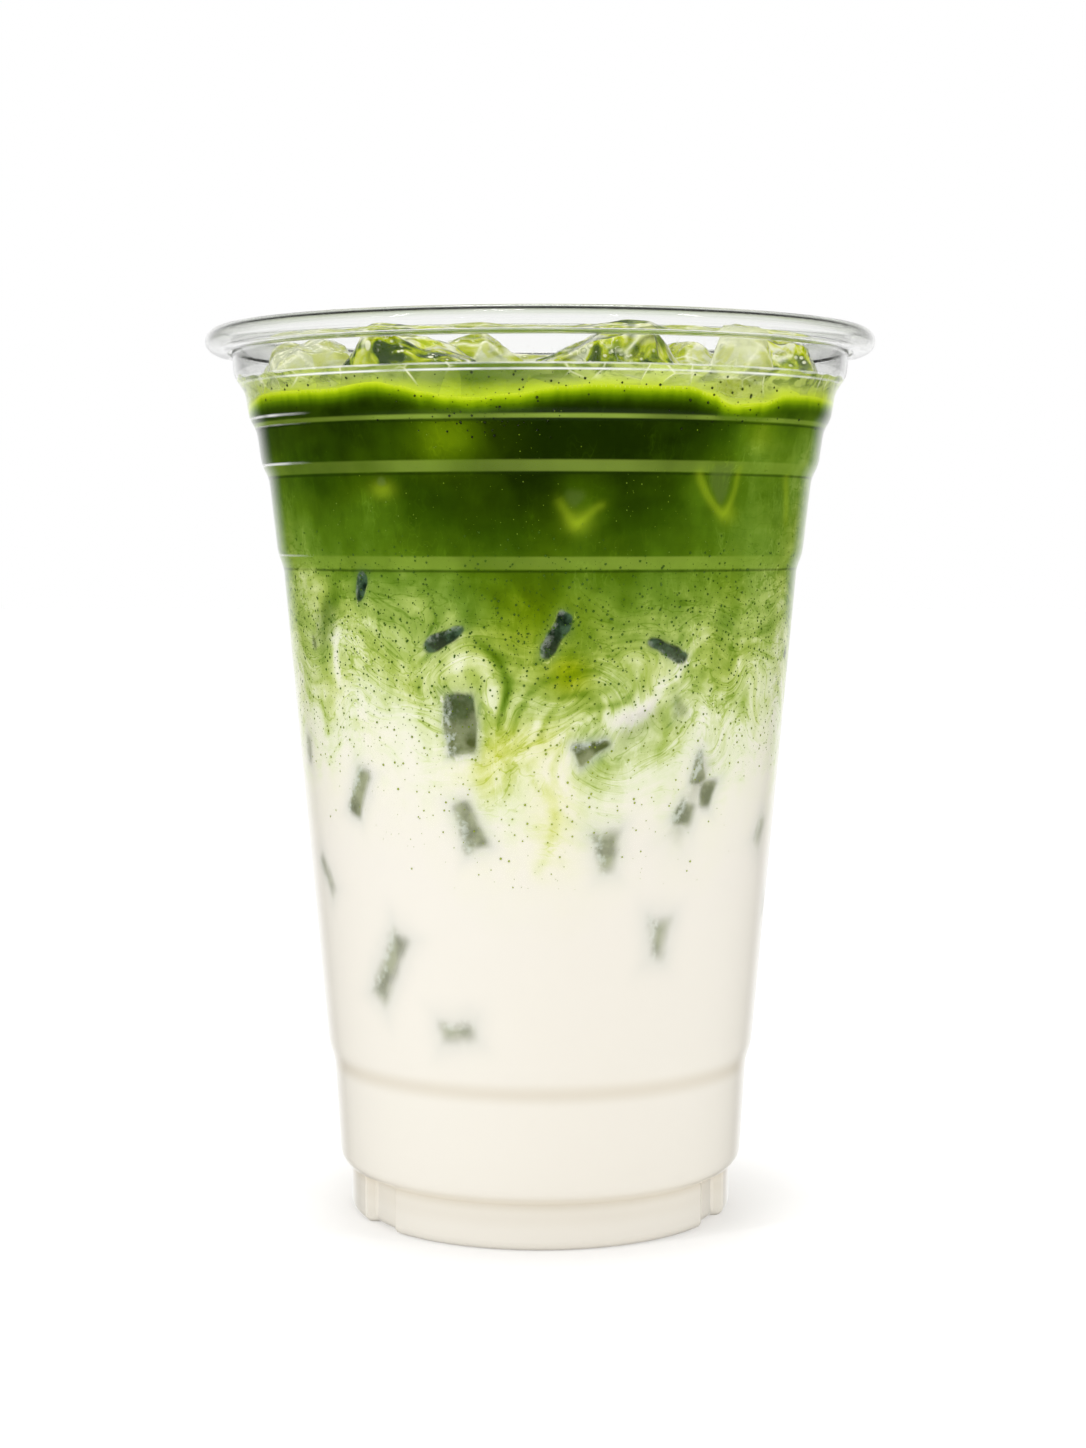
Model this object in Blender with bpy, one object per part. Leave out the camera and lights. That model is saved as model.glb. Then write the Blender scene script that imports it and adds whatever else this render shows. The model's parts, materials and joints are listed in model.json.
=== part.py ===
"""Iced matcha latte: a clear plastic cup with a rolled lip, filled with milk,
a marbled band where the milk and the tea mix, and strong green matcha, under a
heap of half-sunk ice. Metres, +Z up, origin on the table under the cup's centre.
"""

import math

import bmesh
import bpy
from mathutils import Euler, Matrix, Vector, noise

MM = 0.001

# Driving dimensions of the cup
WALL = 0.5 * MM
LIP_RADIUS = 49.0 * MM
LIP_TOP = 130.2 * MM
LIP_HALF_HEIGHT = 1.9 * MM
NECK_RADIUS = 45.2 * MM
FOOT_RADIUS = 28.3 * MM
FOOT_HEIGHT = 6.7 * MM
FOOT_CORNER = 1.4 * MM
RING_INNER_RADIUS = 23.3 * MM
PUSH_UP = 2.2 * MM
PUSH_UP_RADIUS = 21.5 * MM
BODY_CORNER = 2.6 * MM
BODY_BASE_RADIUS = 29.95 * MM

# Ledges that widen the cup on its way up: height and radius where each starts and ends
LEDGES = (
    (22.5 * MM, 30.75 * MM, 25.2 * MM, 31.6 * MM),
    (95.4 * MM, 37.85 * MM, 97.8 * MM, 38.7 * MM),
    (108.4 * MM, 39.9 * MM, 110.6 * MM, 40.95 * MM),
    (115.4 * MM, 41.65 * MM, 117.2 * MM, 42.7 * MM),
    (121.0 * MM, 43.3 * MM, 123.3 * MM, 44.9 * MM),
)

# The foot has three wide lobes with a shallow flute between each pair
LOBES = 3
LOBE_TURN = math.radians(4)
FLUTE_WIDTH = math.radians(14)
FLUTE_EDGE = math.radians(1.6)
FLUTE_DEPTH = 1.2 * MM
LOBE_STEPS = 12
FLUTE_STEPS = 2
CURL_STEP = math.radians(30)
CURL_STEPS = 10
CORNER_STEPS = 2
BODY_CORNER_TURN = math.radians(60)

# The drink's layers: their levels, the swirls where one has sunk into the next, and the froth on top
GAP = 0.3 * MM
MILK_TOP = 71.5 * MM
BLEND_TOP = 93.0 * MM
MATCHA_TOP = 119.2 * MM
SWIRL_HEIGHT = 4.0 * MM
SWIRL_LENGTH = 24.0 * MM
FROTH_HEIGHT = 0.8 * MM
FROTH_LENGTH = 35.0 * MM
FROTH_CREST = -22.0 * MM
LAYER_RINGS = 4
MILK_SWIRL = 2.7
BLEND_SWIRL = 8.1

# The ice: size, centre and turn in degrees of each half-sunk piece, and the room cut round it
ICE_ROOM = 0.45 * MM
ICE_SQUARENESS = 6.0
ICE_WEAR = 0.16
ICE_WEAR_PITCH = 0.77
ICE_WEAR_STEP = 7.3
ICE_CUTS = 3
ICE = (
    ((12.5, 17, 15), (-33.0, -6.4, 120.4), (8, -6, 12)),
    ((19, 15, 18), (-19.0, -21.8, 118.4), (14, 16, 6)),
    ((18, 17, 18), (-23.8, 18.8, 118.8), (-10, 14, 40)),
    ((17, 15, 21), (-10.8, 1.4, 118.4), (8, -10, 12)),
    ((20, 15, 20), (10.3, -21.8, 118.2), (8, -18, -6)),
    ((20, 16, 19), (-1.5, 26.8, 118.0), (-10, 12, -6)),
    ((8, 10, 19), (27.6, -22.2, 119.6), (0, 6, -12)),
    ((12, 17, 15), (33.6, -3.6, 120.6), (-8, 8, -8)),
    ((15, 15, 20), (10.6, 3.2, 118.4), (8, 10, 12)),
    ((18, 17, 19), (22.4, 19.4, 118.8), (-8, -12, -44)),
)

# Meshing: points closer than this are one, and sharper bends than this show as edges
MERGE_REACH = 0.002 * MM
SHARP_BEND = math.radians(35)

# Colour, roughness and clearness of each material
FINISHES = {
    "cup": ((0.93, 0.94, 0.94), 0.04, 0.95),
    "milk": ((0.90, 0.87, 0.79), 0.30, 0.0),
    "blend": ((0.52, 0.62, 0.22), 0.30, 0.0),
    "matcha": ((0.07, 0.16, 0.012), 0.25, 0.0),
    "ice": ((0.80, 0.88, 0.72), 0.05, 0.9),
}


def clear_scene():
    for thing in list(bpy.data.objects):
        bpy.data.objects.remove(thing)


def material(name):
    colour, roughness, clearness = FINISHES[name]
    made = bpy.data.materials.new(name)
    made.use_nodes = True
    shader = made.node_tree.nodes["Principled BSDF"]
    shader.inputs["Base Color"].default_value = (*colour, 1.0)
    shader.inputs["Roughness"].default_value = roughness
    shader.inputs["Metallic"].default_value = 0.0
    shader.inputs["Transmission Weight"].default_value = clearness
    return made


def arc(centre, radii, start, step, count):
    """Points on an ellipse in the (radius, height) plane, one more than count."""
    return [
        (
            centre[0] + radii[0] * math.cos(start + step * i),
            centre[1] + radii[1] * math.sin(start + step * i),
        )
        for i in range(count + 1)
    ]


def cup_outside():
    """The outer face of the cup's wall, from the axis under the floor to the end of the lip's curl."""
    path = [(0.0, PUSH_UP), (PUSH_UP_RADIUS, PUSH_UP), (RING_INNER_RADIUS, 0.0)]
    quarter = math.pi / 2 / CORNER_STEPS
    foot_centre = (FOOT_RADIUS - FOOT_CORNER, FOOT_CORNER)
    path += arc(foot_centre, (FOOT_CORNER, FOOT_CORNER), -math.pi / 2, quarter, CORNER_STEPS)
    path.append((FOOT_RADIUS, FOOT_HEIGHT))
    body_centre = (BODY_BASE_RADIUS - BODY_CORNER, FOOT_HEIGHT + BODY_CORNER)
    turn = BODY_CORNER_TURN / CORNER_STEPS
    path += arc(body_centre, (BODY_CORNER, BODY_CORNER), -BODY_CORNER_TURN, turn, CORNER_STEPS)
    for low, low_radius, high, high_radius in LEDGES:
        path += [(low_radius, low), (high_radius, high)]
    curl = (LIP_RADIUS - NECK_RADIUS - WALL) / 2, LIP_HALF_HEIGHT - WALL
    curl_centre = (NECK_RADIUS + curl[0], LIP_TOP - LIP_HALF_HEIGHT)
    path.append((NECK_RADIUS, curl_centre[1] - curl[1]))
    return path + arc(curl_centre, curl, math.pi, -CURL_STEP, CURL_STEPS)


def inset(path, distance):
    """The path moved to its left, so inside the cup, with mitred corners."""
    moved = []
    for i, point in enumerate(path):
        before = Vector(point) - Vector(path[i - 1]) if i else None
        after = Vector(path[i + 1]) - Vector(point) if i + 1 < len(path) else None
        sides = [Vector((-d.y, d.x)).normalized() for d in (before, after) if d is not None]
        mean = (sides[0] + sides[-1]).normalized()
        moved.append(tuple(Vector(point) + mean * distance / mean.dot(sides[0])))
    return moved


def radius_at(path, level):
    """The radius of a rising path at a height."""
    for (low_radius, low), (high_radius, high) in zip(path, path[1:]):
        if low < level <= high:
            return low_radius + (high_radius - low_radius) * (level - low) / (high - low)
    return path[0][0]


def between(path, low, high):
    """The stretch of a rising path from one height to another, with its ends cut level."""
    ends = [(radius_at(path, level), level) for level in (low, high)]
    return [ends[0], *(point for point in path if low < point[1] < high), ends[1]]


def sectors():
    """The turn and step count of each stretch round the cup, from one lobe's middle to the same lobe."""
    lobe = math.tau / LOBES - FLUTE_WIDTH - 2 * FLUTE_EDGE
    half = (lobe / 2, LOBE_STEPS // 2)
    flute = ((FLUTE_EDGE, 1), (FLUTE_WIDTH, FLUTE_STEPS), (FLUTE_EDGE, 1))
    return (half, *flute, half) * LOBES


def flute_share(x, y):
    """1 in a flute of the foot, 0 on a lobe."""
    angle = math.atan2(x, -y) - LOBE_TURN
    period = math.tau / LOBES
    off_middle = abs((angle + period) % period - period / 2)
    return min(1.0, max(0.0, (FLUTE_WIDTH / 2 + FLUTE_EDGE - off_middle) / FLUTE_EDGE))


def turned(profile):
    """A closed body turned from a profile whose two ends are on the axis, with the foot's flutes pressed in."""
    mesh = bmesh.new()
    points = [mesh.verts.new((0.0, -r, z)) for r, z in profile]
    ring = [*points, *(mesh.edges.new(pair) for pair in zip(points, points[1:]))]
    bmesh.ops.rotate(mesh, verts=points, matrix=Matrix.Rotation(LOBE_TURN, 3, "Z"))
    for angle, steps in sectors():
        spun = bmesh.ops.spin(
            mesh, geom=ring, axis=(0, 0, 1), cent=(0, 0, 0), angle=angle, steps=steps
        )
        ring = spun["geom_last"]
    bmesh.ops.remove_doubles(mesh, verts=mesh.verts, dist=MERGE_REACH)
    for v in mesh.verts:
        radius = math.hypot(v.co.x, v.co.y)
        if v.co.z < FOOT_HEIGHT + WALL and radius > (RING_INNER_RADIUS + FOOT_RADIUS) / 2:
            share = flute_share(v.co.x, v.co.y)
            v.co.xy *= 1 - share * FLUTE_DEPTH / radius
    bmesh.ops.recalc_face_normals(mesh, faces=mesh.faces)
    return mesh


def add_object(name, mesh, slot):
    data = bpy.data.meshes.new(name)
    mesh.to_mesh(data)
    mesh.free()
    data.materials.append(slot)
    data.shade_smooth()
    data.set_sharp_from_angle(angle=SHARP_BEND)
    made = bpy.data.objects.new(name, data)
    bpy.context.scene.collection.objects.link(made)
    return made


def make_cup():
    outside = cup_outside()
    profile = outside + inset(outside, WALL)[::-1]
    return add_object("cup", turned(profile), material("cup"))


def swirl(seed):
    """The lift of a boundary between two layers of the drink, where one has sunk into the other."""

    def lift(x, y):
        return SWIRL_HEIGHT * noise.noise(Vector((x / SWIRL_LENGTH, y / SWIRL_LENGTH, seed)))

    return lift


def froth(x, y):
    """The lift of the drink's surface, a little higher where the ice crowds it."""
    return FROTH_HEIGHT * math.cos(math.tau * (x - FROTH_CREST) / FROTH_LENGTH)


def split_from_inside(face):
    """Halve a level quad on the same diagonal whichever way it faces, so that two layers meet alike."""
    corners = list(face.verts)
    for a, b in (corners[::2], corners[1::2]):
        inner, outer = sorted((a.co.xy, b.co.xy), key=lambda point: point.length)
        if inner.cross(outer) > 0:
            bmesh.utils.face_split(face, a, b)
            return


def make_layer(name, low, high, low_lift, high_lift):
    """One layer of the drink, filling the cup from wall to wall; without a low level it fills the floor too."""
    inside = inset(cup_outside(), WALL + GAP)
    wall = inside[2:]
    side = inside[:2] if low is None else []
    if low is not None:
        low_radius = radius_at(wall, low)
        side = [(low_radius * i / LAYER_RINGS, low) for i in range(LAYER_RINGS)]
    side += between(wall, wall[0][1] if low is None else low, high)
    side += [(side[-1][0] * i / LAYER_RINGS, high) for i in range(LAYER_RINGS - 1, -1, -1)]
    mesh = turned(side)
    for level, lift in ((low, low_lift), (high, high_lift)):
        if level is None:
            continue
        flat = {v for v in mesh.verts if abs(v.co.z - level) < MERGE_REACH}
        for face in [f for f in mesh.faces if len(f.verts) == 4 and flat.issuperset(f.verts)]:
            split_from_inside(face)
        for v in flat:
            v.co.z += lift(v.co.x, v.co.y)
            v.co.xy *= radius_at(wall, v.co.z) / radius_at(wall, level)
    return add_object(name, mesh, material(name))


def ice_body(number, size):
    """A melted cube: square faces drawn in towards rounded edges, worn unevenly."""
    mesh = bmesh.new()
    bmesh.ops.create_cube(mesh, size=2.0)
    bmesh.ops.subdivide_edges(mesh, edges=mesh.edges, cuts=ICE_CUTS, use_grid_fill=True)
    for v in mesh.verts:
        roundness = sum(abs(c) ** ICE_SQUARENESS for c in v.co) ** (1 / ICE_SQUARENESS)
        spot = v.co / ICE_WEAR_PITCH + Vector((number * ICE_WEAR_STEP, 0.0, 0.0))
        worn = 1 + ICE_WEAR * noise.noise(spot)
        point = v.co / roundness * worn
        v.co = [point[i] * size[i] * MM / 2 for i in range(3)]
    bmesh.ops.triangulate(mesh, faces=mesh.faces)
    return mesh


def make_ice():
    """The half-sunk ice and, for each piece, a slightly larger cutter that makes its place in the drink."""
    slot = material("ice")
    cutters = bpy.data.collections.new("ice_places")
    bpy.context.scene.collection.children.link(cutters)
    for number, (size, centre, turn) in enumerate(ICE, start=1):
        place = Vector(centre) * MM
        facing = Euler([math.radians(a) for a in turn])
        piece = add_object(f"ice_{number:02d}", ice_body(number, size), slot)
        piece.location = place
        piece.rotation_euler = facing
        room = ice_body(number, size)
        room.normal_update()
        for v in room.verts:
            v.co += v.normal * ICE_ROOM
        cutter = add_object(f"ice_place_{number:02d}", room, slot)
        cutter.location = place
        cutter.rotation_euler = facing
        cutter.hide_render = True
        cutter.display_type = "WIRE"
        bpy.context.scene.collection.objects.unlink(cutter)
        cutters.objects.link(cutter)
    return cutters


def make_drink():
    milk_swirl, blend_swirl = swirl(MILK_SWIRL), swirl(BLEND_SWIRL)
    make_layer("milk", None, MILK_TOP, None, milk_swirl)
    make_layer("blend", MILK_TOP + GAP, BLEND_TOP, milk_swirl, blend_swirl)
    matcha = make_layer("matcha", BLEND_TOP + GAP, MATCHA_TOP, blend_swirl, froth)
    cut = matcha.modifiers.new("ice_places", "BOOLEAN")
    cut.operation = "DIFFERENCE"
    cut.operand_type = "COLLECTION"
    cut.collection = make_ice()
    cut.solver = "EXACT"


clear_scene()
make_cup()
make_drink()
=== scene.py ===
# Iced matcha latte in a clear plastic cup: the looks of every piece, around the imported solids
import json
import math

import bmesh
import bpy
import numpy as np
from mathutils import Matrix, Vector, noise

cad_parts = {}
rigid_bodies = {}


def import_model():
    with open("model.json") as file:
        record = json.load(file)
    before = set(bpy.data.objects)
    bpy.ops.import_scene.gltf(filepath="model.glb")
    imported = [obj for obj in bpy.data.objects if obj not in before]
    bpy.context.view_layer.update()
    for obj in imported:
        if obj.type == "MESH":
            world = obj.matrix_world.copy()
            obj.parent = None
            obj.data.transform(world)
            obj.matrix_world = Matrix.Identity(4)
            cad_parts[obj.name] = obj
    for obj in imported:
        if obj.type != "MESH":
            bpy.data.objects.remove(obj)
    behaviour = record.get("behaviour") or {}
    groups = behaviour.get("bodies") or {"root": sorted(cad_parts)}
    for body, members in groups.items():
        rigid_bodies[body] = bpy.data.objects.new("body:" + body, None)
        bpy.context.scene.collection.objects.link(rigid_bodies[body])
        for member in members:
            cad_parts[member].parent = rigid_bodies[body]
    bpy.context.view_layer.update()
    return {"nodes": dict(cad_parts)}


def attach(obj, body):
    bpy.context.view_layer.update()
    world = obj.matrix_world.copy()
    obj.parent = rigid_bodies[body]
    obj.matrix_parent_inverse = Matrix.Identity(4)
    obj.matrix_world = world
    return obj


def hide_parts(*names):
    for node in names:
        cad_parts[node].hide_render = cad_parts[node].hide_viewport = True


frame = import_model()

mm = 0.001
wallArc = 37.0  # mm round the drink for each radian, where the marbling is drawn


# Small helpers for materials

def paint(red, green, blue):  # a colour as it looks on screen, 0 to 255, as the shader's linear values
    def linear(value):
        value /= 255
        return value / 12.92 if value <= 0.04045 else ((value + 0.055) / 1.055) ** 2.4
    return (linear(red), linear(green), linear(blue), 1.0)


def paints(colours):
    return {name: paint(*colour) for name, colour in colours.items()}


def feed(tree, socket, value):  # joins another socket, or sets a plain value
    if isinstance(value, bpy.types.NodeSocket):
        tree.links.new(value, socket)
    else:
        socket.default_value = value


def addNode(tree, kind, inputs=None, **settings):
    node = tree.nodes.new(kind)
    for name, value in settings.items():
        setattr(node, name, value)
    for name, value in (inputs or {}).items():
        feed(tree, node.inputs[name], value)
    return node


def calc(tree, operation, *values, clamp=False):
    inputs = dict(enumerate(values))
    return addNode(tree, "ShaderNodeMath", inputs, operation=operation, use_clamp=clamp).outputs[0]


def times(tree, first, *others, clamp=False):
    for other in others:
        first = calc(tree, "MULTIPLY", first, other, clamp=clamp)
    return first


def apartFrom(tree, value, middle):
    return calc(tree, "ABSOLUTE", calc(tree, "SUBTRACT", value, middle))


def axisOf(tree, vector, axis):
    return addNode(tree, "ShaderNodeSeparateXYZ", {"Vector": vector}).outputs[axis]


def smooth(tree, value, low, high, start=0.0, end=1.0):  # an eased step from start to end
    inputs = {"Value": value, "From Min": low, "From Max": high, "To Min": start, "To Max": end}
    return addNode(tree, "ShaderNodeMapRange", inputs, interpolation_type="SMOOTHSTEP").outputs[0]


def mixColour(tree, share, first, second, blend="MIX"):
    node = addNode(tree, "ShaderNodeMix", {0: share, 6: first, 7: second}, data_type="RGBA", blend_type=blend)
    return node.outputs[2]


def ramp(tree, value, stops):
    node = addNode(tree, "ShaderNodeValToRGB", {"Fac": value})
    band = node.color_ramp
    while len(band.elements) < len(stops):
        band.elements.new(0.5)
    for element, (place, *colour) in zip(band.elements, stops):
        element.position = place
        element.color = paint(*colour)
    return node.outputs["Color"]


def stretched(tree, place, **ways):
    return addNode(tree, "ShaderNodeMapping", {"Vector": place, **ways}).outputs[0]


def cloud(tree, place, scale, detail=2.0, rough=0.5, stretch=None, bend=0.0):  # noise from 0 to 1
    if stretch:
        place = stretched(tree, place, Scale=stretch)
    inputs = {"Vector": place, "Scale": scale, "Detail": detail, "Roughness": rough, "Distortion": bend}
    return addNode(tree, "ShaderNodeTexNoise", inputs).outputs["Fac"]


def threads(tree, place, scale, sharp, stretch=None):  # thin lines where a cloud crosses its middle value
    middle = apartFrom(tree, cloud(tree, place, scale, 3.0, 0.55, stretch), 0.5)
    return smooth(tree, middle, 0.0, sharp, 1.0, 0.0)


def blots(tree, place, looks, low, high, start=0.0, end=1.0):  # a cloud of these looks, drawn sharper
    return smooth(tree, cloud(tree, place, *looks), low, high, start, end)


def attribute(tree, name):
    return addNode(tree, "ShaderNodeAttribute", attribute_name=name).outputs["Fac"]


def cells(tree, place, scale, output="Distance", **settings):
    inputs = {"Vector": place, "Scale": scale}
    return addNode(tree, "ShaderNodeTexVoronoi", inputs, **settings).outputs[output]


def objectPlace(tree):
    return addNode(tree, "ShaderNodeTexCoord").outputs["Object"]


def newMaterial(name, **values):  # a Principled material, with plain numbers on the shader's own sockets
    made = bpy.data.materials.new(name)
    made.use_nodes = True
    shader = made.node_tree.nodes["Principled BSDF"]
    for socket, value in values.items():
        shader.inputs[socket.replace("_", " ")].default_value = value
    return made, made.node_tree, shader


def bumpInto(tree, shader, height, distance, strength):
    inputs = {"Height": height, "Distance": distance, "Strength": strength}
    feed(tree, shader.inputs["Normal"], addNode(tree, "ShaderNodeBump", inputs).outputs[0])


def addSockets(tree, way, kind, *names):
    for name in names:
        tree.interface.new_socket(name=name, in_out=way, socket_type="NodeSocket" + kind)


# Small helpers for objects and meshes

def addObject(name, data):
    made = bpy.data.objects.new(name, data)
    bpy.context.scene.collection.objects.link(made)
    return made


def asMesh(holder):  # what an object's modifiers make, as a plain mesh; the object goes
    bpy.context.view_layer.update()
    made = bpy.data.meshes.new_from_object(holder.evaluated_get(bpy.context.evaluated_depsgraph_get()))
    bpy.data.objects.remove(holder)
    return made


# Camera, light and floor

camera = {"place": (0.4, -386.0, 100.9), "pitch": 4.25, "lens": 64.6}
studio = {
    "background": 1.0, "surround": (0.86, 0.78),  # the white room as seen, and as light from left and right
    "cardBrightness": 0.02, "cardEdge": (0.76, 0.96),  # what gloss sees in front, and where it turns white
    "tableBrightness": 0.3, "tableEdge": (-0.5, -0.85),  # what gloss sees of the table below
    "ceiling": 0.3, "ceilingEdge": (0.25, 0.65),  # what clear pieces bend into view from overhead
    "floorColour": (0.94, 0.94, 0.94, 1.0), "floorGlow": 0.24, "floorSize": 6.0,
    "floorShade": (27.0, 50.0, 0.84),  # the soft shadow round the foot: its start, end and least light
    # place in mm, width and height in mm, watts
    "lamps": (
        ((-420, -330, 520), (24, 200), 0.4),
        ((380, -250, 480), (20, 160), 0.22),
        ((0, 420, 620), (200, 60), 0.25),
        ((-90, -190, 640), (120, 26), 0.3),
        ((190, -420, 330), (16, 70), 0.1),
        ((-230, -520, 190), (14, 60), 0.08),
    ),
}


def makeCamera():
    data = bpy.data.cameras.new("camera")
    data.lens = camera["lens"]
    data.sensor_width = 36.0
    seen = addObject("camera", data)
    seen.location = Vector(camera["place"]) * mm
    seen.rotation_euler = (math.radians(90 - camera["pitch"]), 0.0, 0.0)
    bpy.context.scene.camera = seen


def makeStudio():
    scene = bpy.context.scene
    scene.view_settings.view_transform = "Standard"
    world = bpy.data.worlds.new("studio")
    world.use_nodes = True
    scene.world = world
    tree = world.node_tree
    background = tree.nodes["Background"]
    direction = addNode(tree, "ShaderNodeTexCoord").outputs["Generated"]
    facing = addNode(tree, "ShaderNodeSeparateXYZ", {"Vector": direction})
    behind = smooth(tree, facing.outputs["Y"], *studio["cardEdge"], studio["cardBrightness"], 1.0)
    table = smooth(tree, facing.outputs["Z"], *studio["tableEdge"], 0.0, studio["tableBrightness"])
    behind = calc(tree, "MAXIMUM", behind, table)
    level = smooth(tree, facing.outputs["X"], -1.0, 1.0, *studio["surround"])
    above = smooth(tree, facing.outputs["Z"], *studio["ceilingEdge"], studio["background"], studio["ceiling"])
    path = addNode(tree, "ShaderNodeLightPath").outputs
    for ray, seen in (("Camera", studio["background"]), ("Transmission", above), ("Glossy", behind)):
        level = addNode(tree, "ShaderNodeMix", {0: path[f"Is {ray} Ray"], 2: level, 3: seen}).outputs[0]
    feed(tree, background.inputs["Strength"], level)
    background.inputs["Color"].default_value = (1.0, 1.0, 1.0, 1.0)
    for number, (place, size, watts) in enumerate(studio["lamps"], start=1):
        light = bpy.data.lights.new(f"lamp_{number}", "AREA")
        light.shape = "RECTANGLE"
        light.size, light.size_y = size[0] * mm, size[1] * mm
        light.energy = watts
        lamp = addObject(light.name, light)
        lamp.location = Vector(place) * mm
        aim = Vector((0.0, 0.0, 0.08)) - lamp.location
        lamp.rotation_euler = aim.to_track_quat("-Z", "Y").to_euler()
        lamp.visible_camera = lamp.visible_transmission = False


def makeFloor():
    half = studio["floorSize"] / 2
    data = bpy.data.meshes.new("floor")
    corners = [(-half, -half, 0), (half, -half, 0), (half, half, 0), (-half, half, 0)]
    data.from_pydata(corners, [], [(0, 1, 2, 3)])
    made, tree, shader = newMaterial("floor", Roughness=0.9, Specular_IOR_Level=0.0)
    apart = addNode(tree, "ShaderNodeVectorMath", {0: objectPlace(tree)}, operation="LENGTH").outputs["Value"]
    near, far, least = studio["floorShade"]
    shade = smooth(tree, apart, near * mm, far * mm, 1.0, 0.0)
    white = (1.0, 1.0, 1.0, 1.0)
    lights = (("Base Color", studio["floorColour"], least), ("Emission Color", white, least ** 4))
    for socket, lit, dark in lights:
        feed(tree, shader.inputs[socket], mixColour(tree, shade, lit, (dark, dark, dark, 1.0)))
    shader.inputs["Emission Strength"].default_value = studio["floorGlow"]
    data.materials.append(made)
    floor = addObject("floor", data)
    floor.visible_glossy = False


makeCamera()
makeStudio()
makeFloor()
print("studio made")


# The cup: the same profile as the solid, with rounded ledges and finer steps

cup = {
    "wall": 0.5, "lipRadius": 49.0, "lipTop": 130.2, "lipHalfHeight": 1.9, "neckRadius": 45.2,
    "footRadius": 28.3, "footHeight": 6.7, "footCorner": 1.4, "ringInner": 23.3,
    "pushUp": 2.2, "pushUpRadius": 21.5,
    "bodyCorner": 2.6, "bodyBase": 29.95, "bodyTurn": 60.0,
    # low height, radius there, high height, radius there
    "ledges": (
        (22.5, 30.75, 25.2, 31.6),
        (95.4, 37.85, 97.8, 38.7),
        (108.4, 39.9, 110.6, 40.95),
        (115.4, 41.65, 117.2, 42.7),
        (121.0, 43.3, 123.3, 44.9),
    ),
    "rounding": 0.8, "roundSteps": 4, "curlTurn": 300.0, "curlSteps": 30, "cornerSteps": 6,
    "lobes": 3, "lobeTurn": 4.0, "fluteWidth": 14.0, "fluteEdge": 1.6, "fluteDepth": 1.2,
    # painted highlight lines at the pressed ledges: height, reach, how pale in front and at the left edge
    "ledgeHighlightLines": (
        (122.85, 0.22, 0.6, 0.5), (122.1, 0.25, 0.9, 0.5), (117.0, 0.3, 0.0, 0.85),
        (115.7, 0.2, 0.0, 0.3), (110.3, 0.3, 0.0, 0.85), (97.4, 0.25, 0.0, 0.5),
    ),
    "edgeGlow": (-38.0, -31.0),  # between these x the left edge's painted highlight lines turn into the front's
    "colour": (0.968, 0.972, 0.96, 1.0),
    "rollShade": (128.8, 129.7), "rollShadeColour": (0.84, 0.87, 0.78, 1.0),  # painted shade: a darker tint at the top of the lip
}


def arc(centre, radii, start, sweep, steps):
    turns = [math.radians(start + sweep * i / steps) for i in range(steps + 1)]
    return [(centre[0] + radii[0] * math.cos(t), centre[1] + radii[1] * math.sin(t)) for t in turns]


def rounded(path, reach, steps):  # the path with each corner turned into a small curve
    made = [path[0]]
    for before, corner, after in zip(path, path[1:], path[2:]):
        corner = Vector(corner)
        ways = [Vector(side) - corner for side in (before, after)]
        ends = [corner + way.normalized() * min(reach, way.length / 2.2) for way in ways]
        for i in range(steps + 1):
            t = i / steps
            point = ends[0] * (1 - t) ** 2 + corner * 2 * t * (1 - t) + ends[1] * t ** 2
            made.append((point.x, point.y))
    return made + [path[-1]]


def cupOutside():
    c = cup
    foot = [(0.0, c["pushUp"]), (c["pushUpRadius"], c["pushUp"]), (c["ringInner"], 0.0)]
    corner = c["footCorner"]
    foot += arc((c["footRadius"] - corner, corner), (corner, corner), -90.0, 90.0, c["cornerSteps"])
    foot.append((c["footRadius"], c["footHeight"]))
    centre = (c["bodyBase"] - c["bodyCorner"], c["footHeight"] + c["bodyCorner"])
    body = arc(centre, (c["bodyCorner"],) * 2, -c["bodyTurn"], c["bodyTurn"], c["cornerSteps"])
    curl = (c["lipRadius"] - c["neckRadius"] - c["wall"]) / 2, c["lipHalfHeight"] - c["wall"]
    curlCentre = (c["neckRadius"] + curl[0], c["lipTop"] - c["lipHalfHeight"])
    steps = [body[-1]]
    for low, lowRadius, high, highRadius in c["ledges"]:
        steps += [(lowRadius, low), (highRadius, high)]
    steps.append((c["neckRadius"], curlCentre[1] - curl[1]))
    lip = arc(curlCentre, curl, 180.0, -c["curlTurn"], c["curlSteps"])
    return foot + body + rounded(steps, c["rounding"], c["roundSteps"])[1:] + lip


def inset(path, distance):  # the path moved to its left, into the cup
    moved = []
    for i, point in enumerate(path):
        before = Vector(point) - Vector(path[i - 1]) if i else None
        after = Vector(path[i + 1]) - Vector(point) if i + 1 < len(path) else None
        sides = [Vector((-d.y, d.x)).normalized() for d in (before, after) if d is not None]
        mean = (sides[0] + sides[-1]).normalized()
        moved.append(tuple(Vector(point) + mean * distance / mean.dot(sides[0])))
    return moved


def columns(lobeSteps, edgeSteps, fluteSteps):  # turns in radians round the cup, closer at the foot's flutes
    c = cup
    lobe = 360.0 / c["lobes"] - c["fluteWidth"] - 2 * c["fluteEdge"]
    stretches = ((lobe / 2, lobeSteps // 2), (c["fluteEdge"], edgeSteps), (c["fluteWidth"], fluteSteps))
    stretches += stretches[1::-1]
    turns, start = [], c["lobeTurn"]
    for width, steps in stretches * c["lobes"]:
        turns += [start + width * i / steps for i in range(steps)]
        start += width
    return np.radians(turns)


def fluteShare(turns):  # 1 in a flute of the foot, 0 on a lobe
    period = 360.0 / cup["lobes"]
    offMiddle = np.abs((np.degrees(turns) - cup["lobeTurn"]) % period - period / 2)
    return np.clip((cup["fluteWidth"] / 2 + cup["fluteEdge"] - offMiddle) / cup["fluteEdge"], 0.0, 1.0)


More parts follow.
